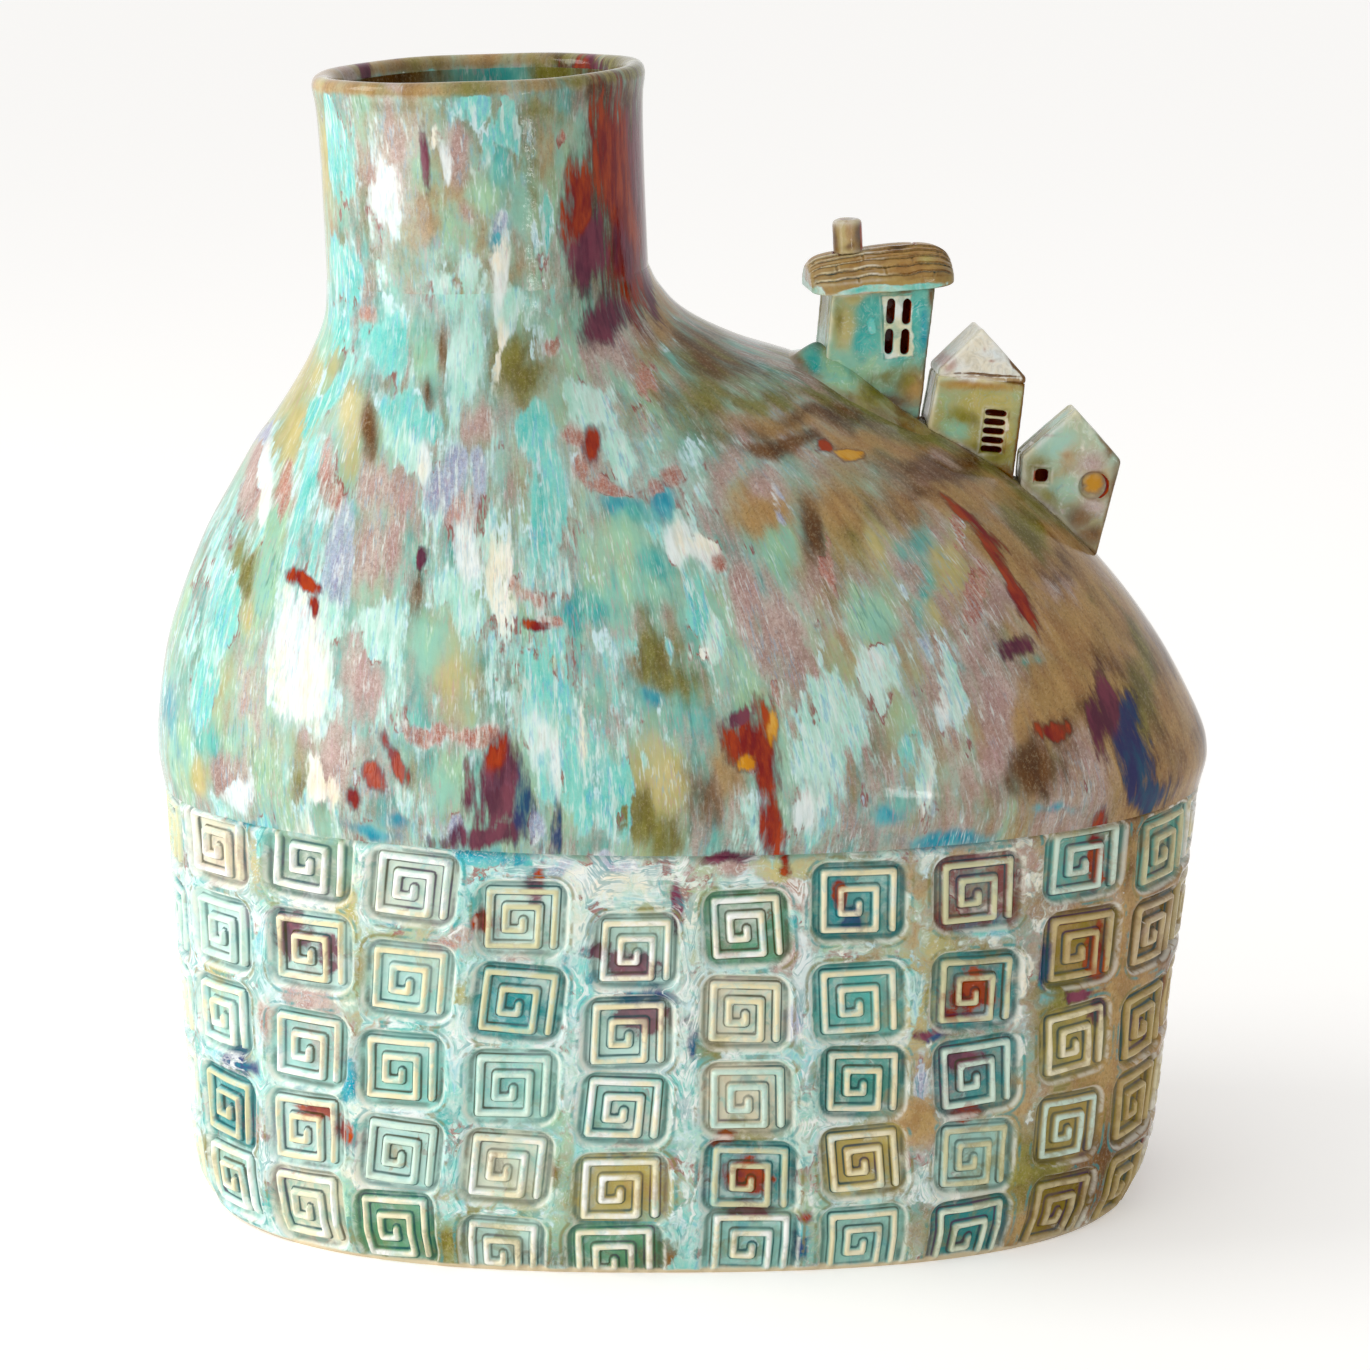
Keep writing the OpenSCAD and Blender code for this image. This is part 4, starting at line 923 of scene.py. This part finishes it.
def buildWall(name, first, last, layout, tree, shapes, material, seed):
    columns, outerRows, innerRows = (wallMake[key] for key in ("columns", "rows", "innerRows"))
    rows, top = outerRows + innerRows, bodyForm["beltHeight"]
    turns, _, length = unrolled(first, last)
    s = np.linspace(0, length[-1], columns)
    turn = np.interp(s, length, turns)
    heights = np.linspace(0, top, outerRows)
    # rounded top edge and foot edge
    bend = smoothStep(top - wallMake["topEdge"], top, heights) ** 1.5
    bend += 0.8 * smoothStep(wallMake["footEdge"], 0, heights) ** 1.5
    insets = np.concatenate([wallMake["edgeRound"] * bend, np.full(innerRows, bodyForm["wall"])])
    heights = np.concatenate([heights, np.linspace(top, 0, innerRows)])
    grid = np.stack([wallPoint(turn, np.full(columns, h), inset) for h, inset in zip(heights, insets)])
    points = grid.reshape(-1, 3)
    faces = [tuple(f) for f in chainFaces(rows, columns, False, True)]
    faces += [tuple(i * columns for i in range(rows - 1, -1, -1)),
              tuple(i * columns + columns - 1 for i in range(rows))]
    made = makeObject(name, points, faces)
    along = np.gradient(grid, axis=1)
    outward = np.stack([along[..., 1], -along[..., 0], 0 * along[..., 0]], -1)
    outward /= np.linalg.norm(outward, axis=2, keepdims=True)
    outward[outerRows:] = 0
    sAll, zAll = np.tile(s, rows), points[:, 2]
    isOuter = np.repeat(np.arange(rows) < outerRows, columns)
    ends = smoothStep(0, wallMake["seamClear"], np.minimum(sAll, length[-1] - sAll))
    edges = smoothStep(0, wallMake["footClear"], zAll) * smoothStep(top, top - wallMake["topClear"], zAll)
    store(made.data, "flat", np.stack([sAll, zAll, 0 * sAll], -1) * mm)
    store(made.data, "outward", outward.reshape(-1, 3))
    store(made.data, "stampFace", isOuter * ends * edges)
    storeFields(made.data, paintFields(points, bodyStrokes, seed, wallShares, drip=wallMake["drip"]))
    stamps, centres, tones = stampPoints(name + "_places", layout, first, last)
    away = np.abs(np.stack([sAll, zAll], -1)[:, None] - centres[None]).max(2)
    store(made.data, "blockTone", tones[away.argmin(1)])
    press = made.modifiers.new("pressedSpirals", "NODES")
    press.node_group = tree
    values = {"Places": stamps, "Spiral": shapes[0], "Block": shapes[1], "Material": material}
    values.update({label: stampLook[key] * mm for label, key in stampSizes.items()})
    for item in tree.interface.items_tree:
        if item.in_out == "INPUT" and item.name in values:
            press[item.identifier] = values[item.name]
    pressed = evaluatedMesh(made)
    made.modifiers.remove(press)
    made.data = pressed
    bpy.data.objects.remove(stamps)
    return made


stampedGlaze = glazeMaterial("stamped_glaze", "stamp", runs=False, lift=0.8, rich=1.26)
shoulderGlaze = glazeMaterial("shoulder_glaze")
neckGlaze = glazeMaterial("neck_glaze", lift=0.95)
print("materials made")

dome = buildShoulder()
finishPiece(dome, shoulderGlaze, "shoulder_glaze", "shoulder")
finishPiece(buildNeck(), neckGlaze, "neck_glaze", "neck")
shapes = stampShapes()
pressTree = stampTree()
for name, node, first, last, layout, seed in (
        ("stamped_wall_front", "front_wall", math.pi, 2 * math.pi, frontStamps, bodySeed),
        ("stamped_wall_back", "back_wall", 0.0, math.pi, backStamps, bodySeed + 1)):
    wall = buildWall(name, first, last, layout, pressTree, shapes, stampedGlaze, seed)
    finishPiece(wall, stampedGlaze, "stamped_glaze", node)
for shape in shapes:
    bpy.data.objects.remove(shape)


# Houses: every slab of the model, merged, softened like worked clay, and glazed

houseForms = {
    "tall": {"x": 46.0, "yaw": 8.0, "lean": -3.0, "depth": 15.0, "eaveMiddle": 3.7, "lips": 0.8,
             "windows": (6.9, 16.0, 3.4, 7.4), "passes": 18, "finish": "green_house_glaze"},
    "gable": {"x": 71.1, "yaw": 5.0, "lean": 6.2, "depth": 13.0, "eaveMiddle": 0.6, "lips": 0.55,
              "windows": (5.1, 4.8, 2.5, 5.2), "passes": 18, "finish": "sage_house_glaze"},
    "leaning": {"x": 94.8, "yaw": 3.0, "lean": 3.4, "depth": 10.0, "eaveMiddle": 1.2, "lips": 0.3,
                "windows": (-6.0, 11.0, 1.6, 1.6), "passes": 34, "finish": "pale_house_glaze"},
}
# node, piece, house, strokes, finish and smoothing passes; the bank has none, because it is heaped
houseParts = [
    *(("%s_house_%s" % (house, side), "%s_house_%s_clay" % (house, side), house, house,
       form["finish"], form["passes"])
      for side in ("front", "back", "left", "right") for house, form in houseForms.items()),
    ("tall_house_roof", "tall_house_shingles", "tall", "tallRoof", "shingle_glaze", 14),
    ("tall_house_chimney", "tall_house_flue", "tall", "chimney", "shingle_glaze", 18),
    ("tall_house_bank", "tall_house_foot_bank", "tall", "bank", "sage_house_glaze", 0),
    ("gable_house_roof", "gable_house_prism", "gable", "gableRoof", "cream_roof_glaze", 18),
    *(("leaning_house_roof_" + side, "leaning_house_roof_%s_clay" % side, "leaning", "leaningRoof",
       "pale_house_glaze", 18) for side in ("left", "right")),
]
roofForm = {"eave": 25.2, "half": 17.8, "height": 9.7, "crown": 11.73, "course": 11.5, "step": 0.5,
            "shingle": 19.0, "joint": 0.15, "endRound": 0.34, "stagger": 0.37,
            # how the courses waver along the roof, in degrees: reach, rate and start of each wave
            "waver": ((1.3, 0.4, 0), (0.7, 1.0, 2))}
houseMake = {"voxel": 0.3, "roofVoxel": 0.25, "breakAt": 0.03, "openUp": -0.1, "swell": 0.2, "uneven": 0.35,
             "unevenSize": 7.0, "unevenSeed": 21, "lipSize": 1.5, "lipSeed": 23,
             "seed": 31, "backWarp": 2.0, "drip": 1.2}
# path of the mound: x, y and height above the dome
moundMake = {"path": [(34.0, 2.0, 3.5), (34.0, -6.0, 6.5), (41.0, -8.5, 4.5), (55.0, -8.5, 1.6)],
             "reach": 9.0, "sink": 0.3, "grid": (110, 90), "lumps": 0.3, "lumpSize": 6.0, "lumpSeed": 17}
# strokes in each house's own view: sideways from its middle and up from the ridge
houseStrokes = {
    "tall": {
        "olive": [(-8, 19, 3, 7), (2, 4, 7, 4), (9, 2, 5, 5)], "ochre": [(-7, 17, 4, 8), (-4, 24, 4, 3)],
        "tan": [(10, 0, 4, 5)], "teal": [(11.5, 17, 3.5, 10), (5, 10, 5, 6), (0, 20, 5, 6), (-1, 13, 5, 6)],
        # the white line on the front's left edge is a painted highlight
        "aqua": [(0, 16, 1.6, 6), (11.5, 18, 1.2, 5)], "white": [(-12.6, 16, 1.2, 10)],
        "blue": [(-15.5, 12, 3, 5), (12.8, 15, 1.5, 5)], "celadon": [(2, 6, 8, 6), (-7, 8, 5, 5)],
        "umber": [(15, 23, 1.3, 6), (14, 12, 1, 8), (12.9, 0, 1.3, 9), (1, -3, 12, 3)],
    },
    "tallRoof": {
        "tan": [(4, 33, 26, 6)], "mint": [(4, 25.8, 20, 1.2), (-14, 26.6, 3, 2.4)],
        "aqua": [(10, 26, 8, 1.3), (-3, 25.8, 6, 1.1)], "ochre": [(-2, 34, 6, 1.3), (14, 32, 4, 1.2)],
        "umber": [(8, 34, 4, 0.8), (-9, 31, 3, 0.8)],
    },
    "chimney": {
        "tan": [(-4.5, 40, 3, 6)], "ochre": [(-5, 40, 1.6, 6)], "cream": [(-4.6, 41, 1, 3)],
        "umber": [(-1, 40, 1.8, 8), (-7, 38, 1.2, 5), (-4, 36, 2, 1.2), (-3, 44, 3, 1)],
    },
    "bank": {
        "celadon": [(-10, 6, 7, 5)], "teal": [(-15, 9, 3, 5)], "mint": [(-9, 5, 3, 2)],
        "olive": [(0, 1, 8, 4), (-8, -2, 9, 3)], "umber": [(8, -4, 7, 3)],
    },
    "gable": {
        "tan": [(-1, 16, 12, 1.8), (6, 1, 4, 3)], "olive": [(-3, 8, 6, 3), (4, -1, 8, 4)],
        "celadon": [(-5, 4, 5, 5)], "cream": [(-12, 9, 1.4, 10), (8, 5, 1.2, 5)],
        "umber": [(11.6, 8, 1, 12), (5, -6, 9, 3)], "ochre": [(2, 11, 9, 5), (6, 4, 5, 6)],
    },
    "gableRoof": {
        "cream": [(0, 25, 12, 8)], "white": [(2, 24, 8, 5)],
        "salmon": [(0, 24.5, 1.2, 2), (2, 22, 2, 0.7), (-9, 22, 3, 4)], "umber": [(0, 18.5, 14, 0.5)],
        "tan": [(0, 17.6, 14, 0.6)],
    },
    "leaning": {
        # cream on the dish's right rim is a painted highlight, and the thin umber on its left rim at (4.6,
        # 8.8) is painted shade
        "celadon": [(-3, 18, 6, 6), (0, 8, 5, 4)], "cream": [(10.4, 9, 0.9, 2.8)],
        "mauve": [(6, 14, 5, 5), (8, 3, 4, 3)], "olive": [(-7, 13, 4, 6), (-4, 6, 4, 3)],
        "tan": [(-0.4, 15.8, 4, 4), (7.2, 8.8, 4.2, 4.4)], "gold": [(7.4, 8.8, 3, 3.2)],
        "umber": [(4, 0.5, 5, 4.5), (12.4, 8, 2.2, 12), (4.6, 8.8, 0.8, 3), (-6, 21, 5, 0.8, 1.2),
            (8, -4, 6, 4), (10.5, 17.5, 2, 3)],
    },
    "leaningRoof": {
        "olive": [(-7, 20, 6, 5)], "celadon": [(-3, 25, 5, 3)], "umber": [(7, 20, 5, 6)],
        "cream": [(-9, 19, 3, 1)],
    },
}
# for each finish, what lies where no stroke does, and its material
houseGlazes = {
    "green_house_glaze": ({"celadon": 0.1, "teal": 0.0, "olive": -0.4, "aqua": -0.3},
                          {"lift": 0.92, "rich": 1.25}),
    "sage_house_glaze": ({"celadon": 0.0, "olive": -0.2, "ochre": 0.0, "tan": -0.5},
                         {"lift": 0.9, "rich": 1.4}),
    "pale_house_glaze": ({"celadon": 0.0, "cream": 0.1, "mint": 0.05, "olive": -0.2, "ochre": -0.2},
                         {"lift": 0.72, "rich": 1.15}),
    "shingle_glaze": ({"tan": 0.4, "ochre": -0.3, "umber": -0.5},
                      {"calm": 0.9, "lift": 0.95, "rich": 1.25, "roughness": (0.1, 0.25)}),
    "cream_roof_glaze": ({"tan": -0.6, "cream": 0.4, "white": 0.3}, {"lift": 0.8}),
}


def softSlab(node, name, voxel, passes):
    mesh = nodes[node].data.copy()
    work = bmesh.new()
    work.from_mesh(mesh)
    bmesh.ops.remove_doubles(work, verts=work.verts, dist=1e-6)
    work.to_mesh(mesh)
    work.free()
    piece = addObject(name, mesh)
    clay = piece.modifiers.new("clay", "REMESH")
    clay.mode, clay.voxel_size, clay.use_smooth_shade = "VOXEL", voxel * mm, True
    thumbed = piece.modifiers.new("thumbed", "SMOOTH")
    thumbed.factor, thumbed.iterations = 0.5, passes
    soft = evaluatedMesh(piece)
    piece.modifiers.clear()
    piece.data = soft
    return piece


def houseView(points, form):
    # points in the house's own frame: sideways, depth, height
    yaw, lean = (math.radians(form[key]) for key in ("yaw", "lean"))
    turn = np.array(Matrix.Rotation(yaw, 3, "Z") @ Matrix.Rotation(lean, 3, "Y"))
    return (points - (form["x"], 0, ridgeHeight(form["x"]))) @ turn, turn


def convexity(mesh, points, normals):
    # how far each point stands out from its neighbours, in millimetres
    ends = np.zeros(len(mesh.edges) * 2, dtype=np.int64)
    mesh.edges.foreach_get("vertices", ends)
    a, b = ends[0::2], ends[1::2]
    count = np.bincount(ends, minlength=len(points))

    def around(values):
        sums = [np.bincount(a, v[b], len(points)) + np.bincount(b, v[a], len(points)) for v in values.T]
        return np.stack(sums, -1) / count[:, None]

    out = ((points - around(points)) * normals).sum(1)[:, None]
    for _ in range(3):
        out = 0.5 * out + 0.5 * around(out)
    return out[:, 0]


def buildMound(name):
    # clay and glaze heaped along the tall house's foot, running out into the dome
    path = np.array(moundMake["path"])
    line, rises = path[:, :2], path[:, 2]
    reach, sink, (countX, countY) = (moundMake[key] for key in ("reach", "sink", "grid"))
    low, high = line.min(0) - reach, line.max(0) + reach
    spans = np.linspace(low[0], high[0], countX), np.linspace(low[1], high[1], countY)
    flat = np.stack(np.meshgrid(*spans, indexing="ij"), -1).reshape(-1, 2)
    heap = np.zeros(len(flat))
    for a, b, riseA, riseB in zip(line, line[1:], rises, rises[1:]):
        t = np.clip(((flat - a) @ (b - a)) / ((b - a) @ (b - a)), 0, 1)
        off = np.linalg.norm(flat - a - t[:, None] * (b - a), axis=1) / reach
        heap = np.maximum(heap, (riseA * (1 - t) + riseB * t) * smoothStep(1, 0, off))
    down = Vector((0, 0, -1))
    ground = np.array([dome.ray_cast(Vector((x * mm, y * mm, 1)), down)[1][2] / mm for x, y in flat])
    lumps = softNoise(np.stack([*flat.T, 0 * heap], -1), moundMake["lumpSize"], moundMake["lumpSeed"], 2)
    heap = heap * (1 + moundMake["lumps"] * (lumps - 0.5))
    top = np.concatenate([flat, (ground - sink + heap)[:, None]], -1)
    under = np.concatenate([flat, (ground - 2 * sink)[:, None]], -1)
    faces = [tuple(f[::-1]) for f in chainFaces(countX, countY, False, False)]
    faces += [tuple(i + len(flat) for i in f[::-1]) for f in faces]
    ring = [i * countY for i in range(countX)] + [(countX - 1) * countY + j for j in range(1, countY)]
    ring += [i * countY + countY - 1 for i in range(countX - 2, -1, -1)] + list(range(countY - 2, 0, -1))
    faces += [(a, b, b + len(flat), a + len(flat)) for a, b in zip(ring, ring[1:] + ring[:1])]
    return makeObject(name, np.concatenate([top, under]), faces)


def ridgeSearch():
    line = shoulderRings(np.linspace(2, 9.5, 160), np.linspace(-0.9, 0.9, 121)).reshape(-1, 3)
    tree = KDTree(len(line))
    for i, p in enumerate(line):
        tree.insert(p, i)
    tree.balance()
    return tree


def roofShingles(points, form):
    # rounded ends, then overlapping courses with staggered joints
    view, turn = houseView(points, form)
    middle = np.array([form["eaveMiddle"], 0, roofForm["eave"]])
    half, course, shingle = (roofForm[key] for key in ("half", "course", "shingle"))
    side, depth, up = (view - middle).T
    ends = 1 - roofForm["endRound"] * np.clip(np.abs(side) / half, 0, 1) ** 8
    depth, up = depth * ends, 2 + (up - 2) * ends
    up = up + 0.5 * np.sin(side * 0.16 + 0.8) * np.clip(up / 6, 0, 1)
    centre = roofForm["height"] - roofForm["crown"]
    angle = np.degrees(np.arctan2(depth, up - centre))
    for reach, rate, start in roofForm["waver"]:
        angle = angle + reach * np.sin(side * rate + start)
    row = np.floor(np.abs(angle) / course)
    overlap = np.abs(angle) / course - row
    jointAt = np.abs((side / shingle + roofForm["stagger"] * row) % 1 - 0.5) * shingle
    onTop = smoothStep(2.6, 3.4, up) * smoothStep(half, half - 1.2, np.abs(side))
    lift = onTop * (roofForm["step"] * (overlap - 0.5) - roofForm["joint"] * smoothStep(0.5, 0.1, jointAt))
    radius = np.hypot(depth, up - centre) + 1e-6
    depth, up = depth + lift * depth / radius, up + lift * (up - centre) / radius
    # darkened course lines and joints: pooled glaze with painted shade
    groovePoolAndShade = np.maximum(smoothStep(0.12, 0.0, overlap), smoothStep(0.45, 0.1, jointAt) * 0.35)
    moved = np.stack([side, depth, up], -1) + middle
    return moved @ turn.T + (form["x"], 0, ridgeHeight(form["x"])), 0.7 * onTop * groovePoolAndShade


def toWindow(view, windows):
    # distance outside the block of openings
    side, up, halfW, halfH = windows
    return np.maximum(np.abs(view[:, 0] - side) - halfW, np.abs(view[:, 2] - up) - halfH)


def buildHousePiece(node, name, form, strokes, shares, passes, windows):
    shingled = node == "tall_house_roof"
    voxel = houseMake["roofVoxel" if shingled else "voxel"]
    piece = softSlab(node, name, voxel, passes) if passes else buildMound(name)
    mesh = piece.data
    points = readVectors(mesh.vertices, "co") / mm
    groovePoolAndShade = np.zeros(len(points))
    if shingled:
        points, groovePoolAndShade = roofShingles(points, form)
    elif passes:
        noise = softNoise(points, houseMake["unevenSize"], houseMake["unevenSeed"], 2)
        uneven = houseMake["swell"] + houseMake["uneven"] * (noise - 0.5)
        if windows:
            beside = toWindow(houseView(points, form)[0], windows)
            uneven = uneven + (houseMake["openUp"] - uneven) * smoothStep(0.9, 0.2, beside)
        points = points + uneven[:, None] * readVectors(mesh.vertex_normals, "vector")
    mesh.vertices.foreach_set("co", (points * mm).ravel())
    mesh.update()
    normals = readVectors(mesh.vertex_normals, "vector")
    view, turn = houseView(points, form)
    facing = normals @ turn
    convex = convexity(mesh, points, normals) / houseMake["breakAt"]
    fields = paintFields(view, strokes, houseMake["seed"], shares, houseMake["backWarp"], houseMake["drip"])
    # brown on edges, brown at the foot as pooled glaze with painted shade in the crevice, red-brown inside,
    # and olive on slabs facing right and mint on slabs facing left as painted shade and painted light
    fromRidge = np.array([ridgeTree.find(p)[2] for p in points])
    outwards = (facing[:, :2] * (view[:, :2] - (form["eaveMiddle"], 0))).sum(1)
    inwards = smoothStep(0, -2.5, outwards) * (passes > 0)
    coat(fields, "umber", np.clip(convex, 0, 1) * smoothStep(4, 9, view[:, 0]) * 2.2 - 0.4)
    # brown near the ridge at each house's foot: pooled glaze with painted shade in the crevice
    coat(fields, "umber", 0.9 - 1.3 * smoothStep(0.2, 3.0, fromRidge))
    coat(fields, "umber", 3.0 * inwards - 1.3)
    coat(fields, "red", 2.4 * inwards - 1.3)
    # olive on right-facing slabs is painted shade, mint on left-facing slabs is painted light
    coat(fields, "olive", 0.6 * smoothStep(0.3, 0.9, facing[:, 0]) - 0.2)
    coat(fields, "mint", 0.6 * smoothStep(0.4, 0.9, -facing[:, 0]) - 0.1)
    # pale crests on the convex edges of each house's left part: a painted highlight
    ridge = np.clip(convex, 0, 1) * smoothStep(8, 0, view[:, 0]) * 0.8
    if windows:
        near, deep = toWindow(view, windows), view[:, 1] + form["depth"] / 2
        inside = smoothStep(0.5, -0.2, near) * smoothStep(0.45, 0.9, deep)
        ragged = softNoise(view, houseMake["lipSize"], houseMake["lipSeed"], 2)
        lip = smoothStep(0.4, 0.0, near + 0.8 * (ragged - 0.5))
        ridge = np.maximum(ridge, form["lips"] * lip * smoothStep(0.5, 0.2, deep)) * (1 - inside)
        coat(fields, "red", 2.2 * inside - 1.2)
    store(mesh, "ridge", ridge)
    # hollows and roof grooves darkened: pooled glaze with painted shade
    store(mesh, "poolAndShade", np.clip(np.maximum(groovePoolAndShade, -convex * 0.8), 0, 1))
    storeFields(mesh, fields)
    return piece


ridgeTree = ridgeSearch()
houseMaterials = {finish: glazeMaterial(finish, "clay", runs=False, **{"calm": 0.7, **look})
                  for finish, (_, look) in houseGlazes.items()}
for node, name, house, strokes, finish, passes in houseParts:
    form = houseForms[house]
    windows = form["windows"] if node.endswith("_front") else None
    shares = houseGlazes[finish][0]
    piece = buildHousePiece(node, name, form, houseStrokes[strokes], shares, passes, windows)
    finishPiece(piece, houseMaterials[finish], finish, node)
print("houses made")


# Floor slab and luting coil: the model's own solids, in bare clay

def clayMaterial(name):
    material = bpy.data.materials.new(name)
    material.use_nodes = True
    t = NodeMaker(material.node_tree)
    place = t.add("ShaderNodeTexCoord")["Object"]
    broad = t.noise(place, (60, 60, 60), 5.0)[0]
    grog = t.noise(place, (1400, 1400, 1400), 3.0)[0]
    drag = t.noise(place, (220, 900, 900), 3.0)[0]
    colour = t.blend((broad, 0.35, 0.65), tone("d9c9ab"), tone("c7b08c"))
    colour = t.blend((grog, 0.58, 0.7, 0.0, 0.6), colour, tone("8d7354"))
    height = t.calc("MULTIPLY_ADD", grog, 0.5, drag)
    bumped = t.add("ShaderNodeBump", {"Strength": 0.4, "Distance": 0.0004, "Height": height})[0]
    shader = t.tree.nodes["Principled BSDF"].inputs
    t.tree.links.new(colour, shader["Base Color"])
    t.tree.links.new(t.ramp(drag, 0.3, 0.7, 0.62, 0.85), shader["Roughness"])
    t.tree.links.new(bumped, shader["Normal"])
    return material


bareClay = clayMaterial("bare_clay")
for node in ("floor_slab", "floor_coil"):
    nodes[node].data.materials.clear()
    nodes[node].data.materials.append(bareClay)
print("bare clay set")


# Camera, floor and light

cameraLook = {"place": (-0.00862, -0.88913, 0.36828), "turn": (75.09, 0.0, -0.59),
              "lens": 94.85, "sensor": 36.0}
studio = {
    "floor": "f4f2ef", "floorHalf": 8, "floorGlow": 0.3, "room": (0.95, 0.4),
    # name: place, aim, width, height, power
    "lamps": {"low_window": ((-0.66, -0.40, 0.13), (-0.04, 0, 0.2), 0.62, 0.24, 2.0),
              "high_window": ((-1.10, -0.05, 0.86), (-0.08, 0, 0.15), 0.5, 0.6, 5.5),
              "small_window": ((0.51, -0.84, 0.13), (0.04, 0, 0.12), 0.1, 0.05, 0.3)},
}

cameraData = bpy.data.cameras.new("camera")
cameraData.lens, cameraData.sensor_width = cameraLook["lens"], cameraLook["sensor"]
camera = addObject("camera", cameraData)
camera.location = cameraLook["place"]
camera.rotation_euler = [math.radians(a) for a in cameraLook["turn"]]
scene.camera = camera


def whiteRays(t):
    # rays that see the plain white background: the camera's, and those of reflections and glass
    path = t.add("ShaderNodeLightPath")
    mirrored = t.calc("MAXIMUM", path["Is Glossy Ray"], path["Is Transmission Ray"])
    return t.calc("MAXIMUM", path["Is Camera Ray"], mirrored)


floorMesh = bpy.data.meshes.new("studio_floor")
corners = np.array([(-1, -1, 0), (1, -1, 0), (1, 1, 0), (-1, 1, 0)]) * studio["floorHalf"]
floorMesh.from_pydata(corners.tolist(), [], [(0, 1, 2, 3)])
floor = addObject("studio_floor", floorMesh)
floorLook = bpy.data.materials.new("studio_floor")
floorLook.use_nodes = True
t = NodeMaker(floorLook.node_tree)
t.tree.nodes.clear()
matteFloor = t.add("ShaderNodeBsdfDiffuse", {"Color": tone(studio["floor"])})[0]
glow = t.add("ShaderNodeEmission", {"Strength": t.times(whiteRays(t), studio["floorGlow"])})[0]
t.add("ShaderNodeOutputMaterial", {0: t.add("ShaderNodeAddShader", {0: matteFloor, 1: glow})[0]})
floorMesh.materials.append(floorLook)

for lampName, (place, aim, wide, tall, power) in studio["lamps"].items():
    lampData = bpy.data.lights.new(lampName, "AREA")
    lampData.shape = "RECTANGLE"
    lampData.size, lampData.size_y, lampData.energy = wide, tall, power
    lamp = addObject(lampName, lampData)
    lamp.location = place
    lamp.rotation_euler = (Vector(aim) - lamp.location).to_track_quat("-Z", "Y").to_euler()

world = bpy.data.worlds.new("studio")
world.use_nodes = True
t = NodeMaker(world.node_tree)
sky = t.tree.nodes["Background"].inputs
side = t.add("ShaderNodeSeparateXYZ", {0: t.add("ShaderNodeTexCoord")["Generated"]})[0]
room = t.ramp(side, -0.7, 0.9, *studio["room"])
t.tree.links.new(t.ramp(whiteRays(t), 0, 1, room, 1.0), sky["Strength"])
sky["Color"].default_value = (1, 1, 1, 1)
scene.world = world
scene.view_settings.view_transform = "Standard"
